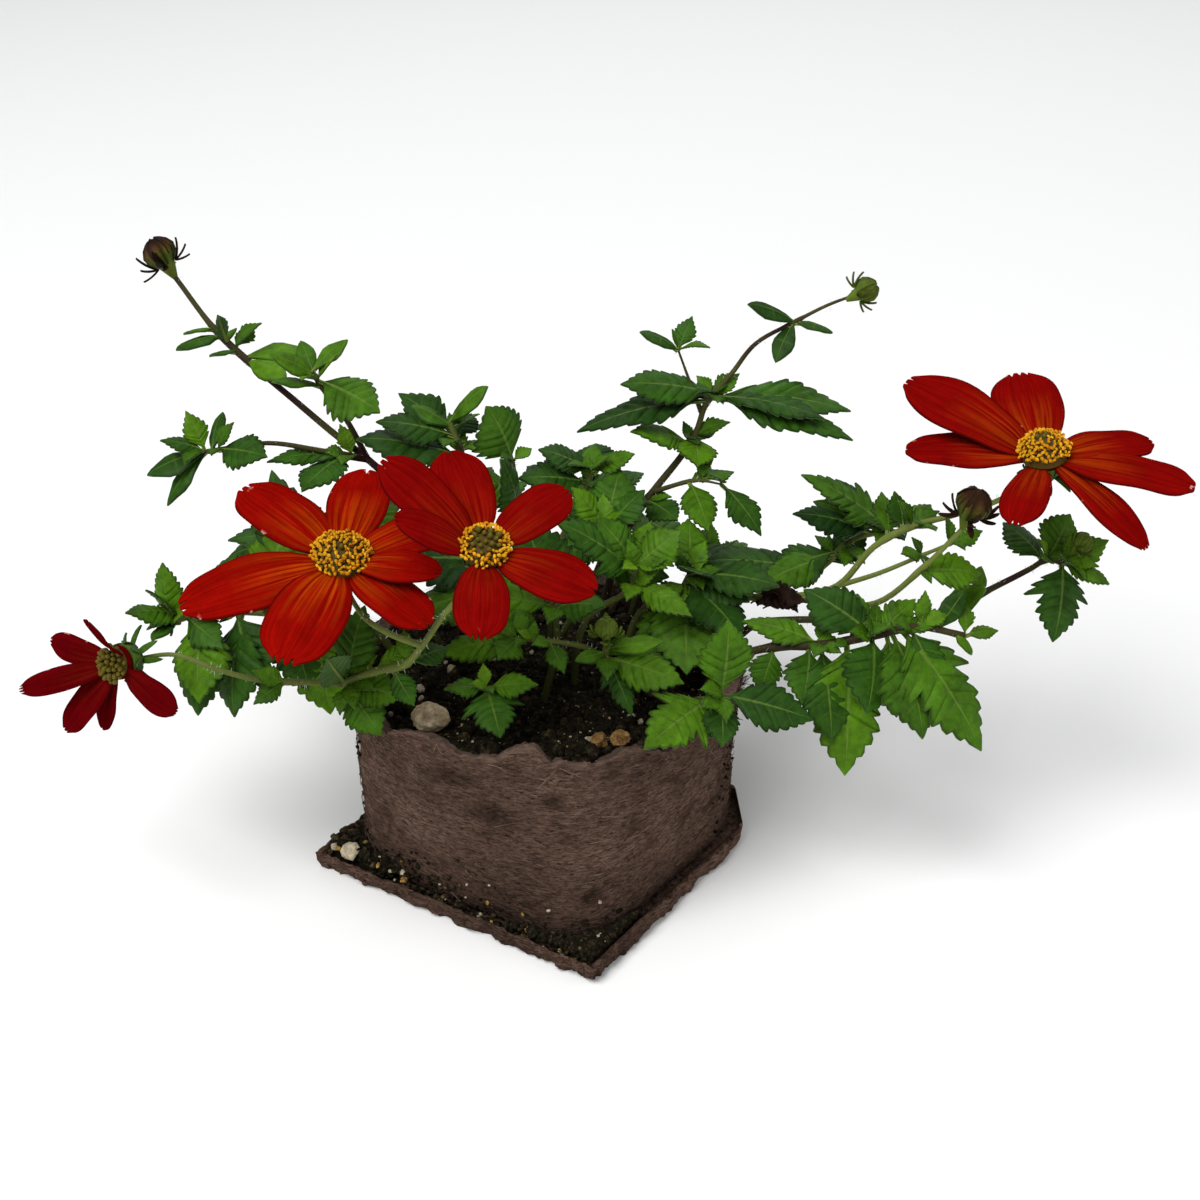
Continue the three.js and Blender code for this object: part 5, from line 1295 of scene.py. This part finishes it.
def heap(node, material):
    """The spilled soil under the crumbs: a copy of its node, made finer and uneven."""
    pick()
    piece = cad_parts[node].copy()
    piece.data = piece.data.copy()
    for key in list(piece.keys()):
        del piece[key]
    piece.parent = None
    bpy.context.scene.collection.objects.link(piece)
    edit(piece, selected="SELECT")
    bpy.ops.mesh.remove_doubles(threshold=1e-5)
    bpy.ops.mesh.quads_convert_to_tris()
    bpy.ops.mesh.subdivide(number_cuts=4)
    leave_edit()
    moved(piece, lambda p: p + Vector((0, 0, 0.7 * noise.fractal(p * 0.5, 0.8, 2, 3) - 0.3
                                       if p.z > 3 else 0)))
    finish(piece, f"{node}_heap", material, [node], 80)


def stone(node, centre, radii, seed, rough, material):
    """An uneven pebble."""
    pick()
    bpy.ops.mesh.primitive_ico_sphere_add(subdivisions=5, radius=MM)
    shift = Vector((seed, seed * 1.7, 0))

    def weathered(p):
        dents = noise.noise(p * 1.2 + shift) + 0.4 * noise.fractal(p * 3 + shift, 0.8, 2, 5)
        return Vector(centre) + Vector([a * b for a, b in zip(p * (1 + rough * dents), radii)])

    piece = moved(bpy.context.object, weathered)
    finish(piece, f"{node}_rock", material, [node], 80)


# Materials

def feed(tree, socket, value):
    """Sets a socket to a number, a colour or a vector, or links it to another node's output."""
    if isinstance(value, bpy.types.NodeSocket):
        tree.links.new(value, socket)
    elif socket.type == "RGBA":
        socket.default_value = (*value, 1)
    else:
        socket.default_value = value


def add_node(tree, kind, inputs=None, **settings):
    made = tree.nodes.new(kind)
    for name, value in settings.items():
        setattr(made, name, value)
    for name, value in (inputs or {}).items():
        feed(tree, made.inputs[name], value)
    return made


def calc(tree, operation, *numbers, clamp=False):
    made = add_node(tree, "ShaderNodeMath", operation=operation, use_clamp=clamp)
    for socket, value in zip(made.inputs, numbers):
        feed(tree, socket, value)
    return made.outputs[0]


def times(tree, first, second, clamp=False):
    return calc(tree, "MULTIPLY", first, second, clamp=clamp)


def between(tree, value, low, high, new_low=0.0, new_high=1.0):
    """The value moved from one range to another, and held inside it."""
    made = add_node(tree, "ShaderNodeMapRange", {"Value": value, "From Min": low, "From Max": high,
                                                 "To Min": new_low, "To Max": new_high})
    return made.outputs["Result"]


def blend(tree, factor, first, second, mode="MIX"):
    """A mix of two colours."""
    made = add_node(tree, "ShaderNodeMix", data_type="RGBA", blend_type=mode)
    colours = [socket for socket in made.inputs if socket.type == "RGBA"]
    for socket, value in zip((made.inputs[0], *colours), (factor, first, second)):
        feed(tree, socket, value)
    return next(socket for socket in made.outputs if socket.type == "RGBA")


def ramp(tree, value, *stops):
    """A colour by value: stops are (place, (red, green, blue))."""
    made = tree.nodes.new("ShaderNodeValToRGB")
    tree.links.new(value, made.inputs[0])
    bands = made.color_ramp.elements
    while len(bands) < len(stops):
        bands.new(0.5)
    for band, (place, colour) in zip(bands, stops):
        band.position = place
        band.color = (*colour, 1)
    return made.outputs[0]


def given(tree, name):
    """A number that the mesh gives each of its vertices."""
    return add_node(tree, "ShaderNodeAttribute", attribute_name=name).outputs["Fac"]


def here(tree):
    return add_node(tree, "ShaderNodeTexCoord").outputs["Object"]


def parts_of(tree, vector):
    return add_node(tree, "ShaderNodeSeparateXYZ", {"Vector": vector}).outputs


def speckle(tree, vector, scale, detail=3.0, roughness=0.6):
    return add_node(tree, "ShaderNodeTexNoise", {"Vector": vector, "Scale": scale, "Detail": detail,
                                                 "Roughness": roughness}).outputs["Fac"]


def shaded(tree, colour, value):
    """The colour multiplied by a value."""
    made = add_node(tree, "ShaderNodeVectorMath", operation="SCALE")
    feed(tree, made.inputs[0], colour)
    feed(tree, made.inputs["Scale"], value)
    return made.outputs[0]


def group(name, inputs, outputs):
    """An empty node group with these numbers going in and coming out, and its two end nodes."""
    tree = bpy.data.node_groups.new(name, "ShaderNodeTree")
    for direction, sockets in (("INPUT", inputs), ("OUTPUT", outputs)):
        for socket in sockets:
            tree.interface.new_socket(socket, in_out=direction, socket_type="NodeSocketFloat")
    return tree, tree.nodes.new("NodeGroupInput").outputs, tree.nodes.new("NodeGroupOutput").inputs


def mottling_group():
    """Uneven patches with finer ones inside them, around 1."""
    tree, start, end = group("mottling", ["Scale", "Strength"], ["Value"])
    coarse = speckle(tree, here(tree), start["Scale"])
    fine = speckle(tree, here(tree), times(tree, start["Scale"], 5.0))
    both = calc(tree, "ADD", times(tree, coarse, 0.65), times(tree, fine, 0.35))
    centred = times(tree, calc(tree, "SUBTRACT", both, 0.5), start["Strength"])
    feed(tree, end["Value"], calc(tree, "ADD", centred, 1.0))
    return tree


def grain_group():
    """Pressed fibre: fine strands that run round the pot, with dark pits, pale fibres and dark ones."""
    tree, start, end = group("fibre grain", ["Scale"], ["Strands", "Pits", "Pale", "Dark"])
    laid = add_node(tree, "ShaderNodeMapping", {"Vector": here(tree), "Scale": (1, 1, 5)}).outputs[0]
    turned = add_node(tree, "ShaderNodeMapping", {"Vector": here(tree), "Rotation": (0.3, 0.2, 0.4),
                                                  "Scale": (1, 1, 3.2)}).outputs[0]
    pits = speckle(tree, turned, times(tree, start["Scale"], 0.6), 4.0, 0.6)
    pale = speckle(tree, laid, times(tree, start["Scale"], 2.6), 2.0, 0.5)
    dark = speckle(tree, laid, times(tree, start["Scale"], 1.7), 3.0, 0.6)
    feed(tree, end["Strands"], speckle(tree, laid, start["Scale"], 6.0, 0.72))
    feed(tree, end["Pits"], between(tree, pits, 0.36, 0.46, 1.0, 0.0))
    feed(tree, end["Pale"], between(tree, pale, 0.6, 0.68))
    feed(tree, end["Dark"], between(tree, dark, 0.37, 0.46, 1.0, 0.0))
    return tree


def mottled(tree, groups, colour, scale, strength):
    patches = add_node(tree, "ShaderNodeGroup", {"Scale": scale, "Strength": strength},
                       node_tree=groups["mottling"])
    return shaded(tree, colour, patches.outputs["Value"])


def new_material(name, roughness, specular=0.5):
    material = bpy.data.materials.new(name)
    material.use_nodes = True
    tree = material.node_tree
    shader = tree.nodes["Principled BSDF"].inputs
    shader["Roughness"].default_value = roughness
    shader["Specular IOR Level"].default_value = specular
    return material, tree, shader


def bump(tree, shader, height, strength, distance):
    made = add_node(tree, "ShaderNodeBump", {"Height": height, "Strength": strength,
                                             "Distance": distance})
    feed(tree, shader["Normal"], made.outputs[0])


def leaf_material(groups):
    """Leaf green from dark to bright, with paler veins and a grey-green underside."""
    material, tree, shader = new_material("leaf_green", 0.45, 0.08)
    green = ramp(tree, given(tree, "tone"), (0, (0.009, 0.03, 0.005)), (0.4, (0.025, 0.078, 0.005)),
                 (0.72, (0.058, 0.145, 0.004)), (1, (0.13, 0.25, 0.009)))
    green = mottled(tree, groups, green, 150.0, 2.8)
    off_rib = calc(tree, "ABSOLUTE", given(tree, "across"))
    midrib = between(tree, off_rib, 0.02, 0.08, 1.0, 0.0)
    side = times(tree, between(tree, given(tree, "vein"), 0.0, 0.25, 1.0, 0.0),
                 between(tree, off_rib, 0.3, 0.95, 0.22, 0.04))
    vein = calc(tree, "MAXIMUM", times(tree, midrib, 0.55), side)
    edge = between(tree, off_rib, 0.84, 1.0, 1.0, 0.4)
    green = blend(tree, vein, shaded(tree, green, edge), (0.12, 0.2, 0.03))
    green = blend(tree, times(tree, given(tree, "under"), 0.75), green, (0.075, 0.13, 0.045))
    feed(tree, shader["Base Color"], green)
    fine = speckle(tree, here(tree), 1400.0)
    bump(tree, shader, calc(tree, "SUBTRACT", fine, times(tree, vein, 1.8)), 0.6, 0.0002)
    return material


def petal_material(groups):
    """Scarlet to crimson, with fine lengthwise lines, and orange streaks from the foot."""
    material, tree, shader = new_material("petal_red", 0.6, 0.0)
    along, across, _ = parts_of(tree, add_node(tree, "ShaderNodeUVMap").outputs[0])
    orange = given(tree, "orange")

    def streaked(stretch, closeness, seed, detail, roughness):
        place = add_node(tree, "ShaderNodeCombineXYZ", {"X": times(tree, along, stretch),
                                                        "Y": times(tree, across, closeness),
                                                        "Z": times(tree, orange, seed)})
        return speckle(tree, place.outputs[0], 1.0, detail, roughness)

    lines = streaked(1.6, 30.0, 31.0, 3.0, 0.6)
    broad = streaked(1.3, 17.0, 17.0, 2.0, 0.5)
    red = blend(tree, given(tree, "tone"), (0.24, 0.0028, 0.0009), (0.1, 0.0009, 0.0022))
    red = shaded(tree, red, between(tree, lines, 0.3, 0.7, 0.68, 1.2))
    from_foot = between(tree, along, 0.0, 0.62, 0.95, 0.0)
    off_middle = calc(tree, "ABSOLUTE", calc(tree, "SUBTRACT", across, 0.5))
    inside = between(tree, off_middle, 0.2, 0.48, 1.0, 0.05)
    streaks = between(tree, broad, 0.42, 0.62, 0.0, 1.1)
    amount = times(tree, times(tree, from_foot, streaks), times(tree, orange, inside), clamp=True)
    red = blend(tree, times(tree, amount, 0.72), red, (0.56, 0.1, 0.002))
    red = mottled(tree, groups, red, 200.0, 0.9)
    rim = between(tree, off_middle, 0.455, 0.5)
    red = blend(tree, times(tree, rim, 0.8), red, (0.04, 0.001, 0.0015))
    scar = between(tree, speckle(tree, here(tree), 420.0, 2.0, 0.5), 0.68, 0.72)
    tip = calc(tree, "MAXIMUM", between(tree, along, 0.86, 0.97), rim)
    red = blend(tree, times(tree, scar, tip), red, (0.55, 0.24, 0.2))
    red = blend(tree, times(tree, given(tree, "under"), 0.35), red, (0.13, 0.012, 0.01))
    feed(tree, shader["Base Color"], red)
    bump(tree, shader, lines, 0.6, 0.00025)
    return material


def disc_material(groups):
    """Golden arms on brown tubes, over an olive dome with olive closed florets."""
    material, tree, shader = new_material("floret_gold", 0.6, 0.1)
    gold = blend(tree, given(tree, "tone"), (0.5, 0.2, 0.004), (0.72, 0.38, 0.012))
    shade = given(tree, "shade")
    brown = ramp(tree, shade, (0.1, (0.35, 0.14, 0.008)), (0.6, (0.05, 0.018, 0.005)),
                 (1, (0.11, 0.085, 0.01)))
    colour = blend(tree, between(tree, shade, 0.0, 0.15), gold, brown)
    feed(tree, shader["Base Color"], mottled(tree, groups, colour, 900.0, 0.9))
    return material


def stem_material(groups):
    """Olive stems that turn purple-brown where the tone is high, and dark near the soil."""
    material, tree, shader = new_material("stem_green", 0.5, 0.07)
    patch = speckle(tree, here(tree), 60.0, 2.0, 0.5)
    purple = times(tree, given(tree, "tone"), between(tree, patch, 0.35, 0.6, 0.75, 1.1), clamp=True)
    colour = blend(tree, purple, (0.15, 0.19, 0.04), (0.024, 0.009, 0.008))
    height = parts_of(tree, here(tree))[2]
    colour = shaded(tree, colour, between(tree, height, 0.043, 0.062, 0.3, 1.0))
    feed(tree, shader["Base Color"], mottled(tree, groups, colour, 500.0, 0.8))
    bump(tree, shader, speckle(tree, here(tree), 1800.0), 0.3, 0.0002)
    return material


def hair_material(groups):
    material, tree, shader = new_material("pale_hair", 0.7)
    feed(tree, shader["Base Color"], mottled(tree, groups, (0.62, 0.6, 0.52), 700.0, 0.6))
    return material


def bud_material(groups):
    """Green to brown bracts, nearly black at their seams and tips."""
    material, tree, shader = new_material("bud_brown", 0.5, 0.04)
    colour = ramp(tree, given(tree, "tone"), (0, (0.1, 0.16, 0.018)), (0.4, (0.085, 0.095, 0.012)),
                  (0.8, (0.085, 0.033, 0.01)), (1, (0.04, 0.014, 0.006)))
    colour = blend(tree, times(tree, given(tree, "shade"), 0.9), colour, (0.007, 0.004, 0.003))
    feed(tree, shader["Base Color"], mottled(tree, groups, colour, 420.0, 1.6))
    bump(tree, shader, speckle(tree, here(tree), 900.0), 0.4, 0.0003)
    return material


def withered_material():
    material, tree, shader = new_material("leaf_withered", 0.7, 0.05)
    colour = ramp(tree, speckle(tree, here(tree), 260.0, 4.0, 0.6), (0.35, (0.008, 0.004, 0.003)),
                  (0.6, (0.035, 0.017, 0.011)), (0.8, (0.08, 0.045, 0.03)))
    feed(tree, shader["Base Color"], colour)
    bump(tree, shader, speckle(tree, here(tree), 700.0), 0.7, 0.0005)
    return material


def fibre_material(groups, name, light, darker_below):
    """Brown pressed fibre. light scales the colour; the last argument is how much darker it turns towards the
    ground.
    """
    material, tree, shader = new_material(name, 0.95, 0.03)
    grain = add_node(tree, "ShaderNodeGroup", {"Scale": 520.0}, node_tree=groups["grain"])
    strands, pits, pale, dark = grain.outputs
    colour = ramp(tree, strands, (0.32, (0.045, 0.025, 0.017)), (0.5, (0.1, 0.059, 0.042)),
                  (0.68, (0.18, 0.117, 0.088)))
    colour = blend(tree, times(tree, pits, 0.4), colour, (0.03, 0.015, 0.01))
    colour = blend(tree, times(tree, dark, 0.9), colour, (0.017, 0.009, 0.006))
    colour = blend(tree, times(tree, pale, 0.35), colour, (0.26, 0.18, 0.135))
    cloud = speckle(tree, here(tree), 38.0, 3.0, 0.55)
    colour = shaded(tree, colour, between(tree, cloud, 0.3, 0.7, 0.68, 1.25))
    blotch = between(tree, speckle(tree, here(tree), 130.0), 0.58, 0.68)
    colour = blend(tree, times(tree, blotch, 0.5), colour, (0.032, 0.018, 0.012))
    ragged = between(tree, speckle(tree, here(tree), 480.0), 0.3, 0.6, 0.4, 1.0)
    stain = times(tree, given(tree, "stain"), ragged, clamp=True)
    colour = blend(tree, times(tree, stain, 0.92), colour, (0.013, 0.008, 0.005))
    colour = blend(tree, times(tree, given(tree, "tone"), 0.35), colour, (0.19, 0.13, 0.1))
    x, _, z = parts_of(tree, here(tree))
    level = calc(tree, "ADD", z, times(tree, cloud, 0.02))
    # Darker towards the bottom, by the share that the last argument gives.
    low = between(tree, level, 0.012, 0.034, light * (1 - darker_below), light)
    # Painted light: away from the middle, to the left and right, the fibre turns up to 1.4 times lighter, so
    # that the sides look as brightly lit as the front.
    painted_side_light = between(tree, calc(tree, "ABSOLUTE", x), 0.018, 0.036, 1.0, 1.4)
    feed(tree, shader["Base Color"], shaded(tree, colour, times(tree, low, painted_side_light)))
    bump(tree, shader, calc(tree, "SUBTRACT", strands, times(tree, pits, 0.6)), 1.0, 0.0005)
    return material


def loose_fibre_material(groups):
    material, tree, shader = new_material("fibre_loose", 0.85, 0.05)
    colour = ramp(tree, given(tree, "tone"), (0, (0.03, 0.019, 0.014)), (0.6, (0.1, 0.062, 0.045)),
                  (1, (0.22, 0.155, 0.11)))
    feed(tree, shader["Base Color"], mottled(tree, groups, colour, 300.0, 0.8))
    return material


def soil_material(groups):
    """Almost black soil. Single crumbs are brown, and a few golden."""
    material, tree, shader = new_material("soil_dark", 0.9, 0.04)
    rough = speckle(tree, here(tree), 900.0, 4.0, 0.7)
    colour = ramp(tree, rough, (0.3, (0.003, 0.0024, 0.0014)), (0.55, (0.017, 0.014, 0.008)),
                  (0.75, (0.085, 0.066, 0.036)))
    kind = ramp(tree, given(tree, "tone"), (0.78, (1, 1, 1)), (0.84, (2.6, 2.3, 2)), (0.955, (3.5, 3, 2.2)),
                (0.97, (20, 14, 7)))
    colour = blend(tree, 1.0, colour, kind, "MULTIPLY")
    feed(tree, shader["Base Color"], mottled(tree, groups, colour, 120.0, 1.4))
    bump(tree, shader, rough, 1.0, 0.001)
    return material


def mineral_material(groups, name, low, high, scale):
    """Perlite or a pebble, mottled between two colours."""
    material, tree, shader = new_material(name, 0.8, 0.04)
    spots = speckle(tree, here(tree), scale, 5.0, 0.65)
    colour = ramp(tree, spots, (0.3, low), (0.65, high))
    feed(tree, shader["Base Color"], mottled(tree, groups, colour, scale * 0.6, 0.7))
    bump(tree, shader, spots, 1.0, 0.0016)
    return material


# Putting it together

def plant(groups, draw):
    """All the shoots, then the flowers and the buds, and last what clings to them."""
    green = leaf_material(groups)
    red = petal_material(groups)
    gold = disc_material(groups)
    brown = bud_material(groups)
    shoot_materials = {"leaf": green, "stem": stem_material(groups)}
    sheets = {name: blade_sheet(f"sheet_{name}", outline, LEAF_ROWS)
              for name, outline in LEAF_OUTLINES.items()}
    petals_flat = petal_sheets()
    bract = blade_sheet("sheet_bract", BRACT_OUTLINE, [-1, 0, 1])
    for name, stems, leaves in SHOOTS:
        leafy_shoot(name, stems, leaves, sheets, shoot_materials, draw)
    florets = [open_floret(), closed_floret()]
    for name, at, towards, radius, orange, crimson, petals, numbers in FLOWERS:
        centre = Vector(at)
        axis = Vector(towards).normalized()
        petal_head(name, centre, axis, petals, petals_flat, orange, crimson, red, draw)
        flower_disc(name, centre, axis, radius, numbers, florets, gold, draw)
        calyx(name, centre, axis, bract, green, draw)
    for name, at, towards, radius, dark, node in BUDS:
        bud(name, Vector(at), Vector(towards).normalized(), radius, dark, node, bract, brown, draw)
    withered_leaf(sheets["ovate"], withered_material(), draw)
    discard(*sheets.values(), *petals_flat, bract, *florets)
    stem_hairs([stem for _, stems, _ in SHOOTS for stem in stems], hair_material(groups), draw)


def spilled(lumps, soil, perlite, draw):
    """Soil in two corners of the tray, and crumbs and white specks there and on the walls and edge."""
    for name, *_ in SPILLS:
        heap(f"spilled_soil_{name}", soil)
    for name, corner, height, _ in SPILLS:
        crumbs(spill_spots(corner, height, *SPILL_CRUMBS, draw), lumps, f"spill_{name}_crumbs", soil, draw)
    specks = []
    for _, corner, height, white in SPILLS:
        specks += spill_spots(corner, height, *white, draw)
    specks += [(Vector(place), radius) for place, radius in PERLITE_CHUNKS]
    crumbs(specks, lumps, "spill_specks", perlite, draw)
    strays = wall_spots(*WALL_CRUMBS, draw) + side_spots(*SIDE_CRUMBS, draw)
    strays += edge_spots(*EDGE_CRUMBS, draw)
    crumbs(strays, lumps, "stray_crumbs", soil, draw)
    specks = wall_spots(*WALL_SPECKS, draw) + edge_spots(*EDGE_SPECKS, draw)
    crumbs(specks, lumps, "stray_specks", perlite, draw)


def pot_and_soil(groups, draw):
    """The pot with its fibres, the tray, the soil in both with its crumbs, and the stones."""
    soil = soil_material(groups)
    perlite = mineral_material(groups, "perlite", (0.36, 0.28, 0.16), (0.84, 0.74, 0.54), 900.0)
    whitish = mineral_material(groups, "stone_whitish", (0.44, 0.28, 0.13), (1.0, 0.84, 0.56), 520.0)
    tan = mineral_material(groups, "stone_tan", (0.09, 0.04, 0.012), (0.46, 0.27, 0.1), 500.0)
    pot(fibre_material(groups, "fibre_wall", 1.0, 0.4))
    loose_fibres(loose_fibre_material(groups), draw)
    tray(fibre_material(groups, "fibre_tray", 0.82, 0.0))
    soil_body(soil)
    lumps = crumb_templates()
    crumbs(soil_spots(*SOIL_CRUMBS, draw), lumps, "soil_crumbs", soil, draw)
    white = soil_spots(*PERLITE_LUMPS, draw) + soil_spots(*PERLITE_DUST, draw)
    crumbs(white, lumps, "perlite_crumbs", perlite, draw)
    spilled(lumps, soil, perlite, draw)
    discard(*lumps)
    for node, centre, radii, seed, rough in STONES:
        stone(node, centre, radii, seed, rough, whitish if node == "stone_white" else tan)


# Floor, light and camera, in metres

FLOOR_SIZE = 6
FLOOR_COLOUR = (0.86, 0.86, 0.85)
LIGHTS = [["key", (-0.5, -0.65, 1.2), 0.9, 20], ["fill", (0.9, -0.5, 0.55), 1.0, 3],
          ["back", (0.2, 0.9, 1.0), 0.9, 4]]
LIGHTS_AIM = Vector((0, 0, 0.05))
SKY_COLOUR = (0.95, 0.97, 1)
SKY_STRENGTH = 0.36
CAMERA_PLACE = (0.0108, -0.35583, 0.2477)
CAMERA_TILT = 62


def floor():
    """A wide sheet that curves up far behind the pot."""
    pick()
    bpy.ops.mesh.primitive_plane_add(size=FLOOR_SIZE)
    sheet = bpy.context.object
    sheet.name = "floor"
    shape = edit(sheet, "EDGE")
    for edge in shape.edges:
        edge.select = all(v.co.y > 0 for v in edge.verts)
    bpy.ops.mesh.extrude_region_move(TRANSFORM_OT_translate={"value": (0, 0.6, 1.2)})
    bpy.ops.mesh.extrude_region_move(TRANSFORM_OT_translate={"value": (0, 0.2, 2.4)})
    leave_edit()
    material, tree, shader = new_material("pale_floor", 0.7)
    feed(tree, shader["Base Color"], FLOOR_COLOUR)
    sheet.data.materials.append(material)
    bpy.ops.object.shade_smooth()


def lights():
    for name, place, size, power in LIGHTS:
        pick()
        bpy.ops.object.light_add(type="AREA", location=place)
        lamp = bpy.context.object
        lamp.name = f"light_{name}"
        lamp.data.size = size
        lamp.data.energy = power
        lamp.rotation_euler = (LIGHTS_AIM - Vector(place)).to_track_quat("-Z", "Y").to_euler()
    world = bpy.data.worlds.new("studio")
    world.use_nodes = True
    sky = world.node_tree.nodes["Background"].inputs
    sky["Color"].default_value = (*SKY_COLOUR, 1)
    sky["Strength"].default_value = SKY_STRENGTH
    bpy.context.scene.world = world
    bpy.context.scene.view_settings.view_transform = "Standard"


def camera():
    pick()
    bpy.ops.object.camera_add(location=CAMERA_PLACE, rotation=(math.radians(CAMERA_TILT), 0, 0))
    view = bpy.context.object
    view.data.lens = 60
    view.data.sensor_width = 36
    view.data.clip_start = 0.01
    bpy.context.scene.camera = view


node_groups = {"mottling": mottling_group(), "grain": grain_group()}
chance = random.Random(7)
plant(node_groups, chance)
pot_and_soil(node_groups, chance)
floor()
lights()
camera()
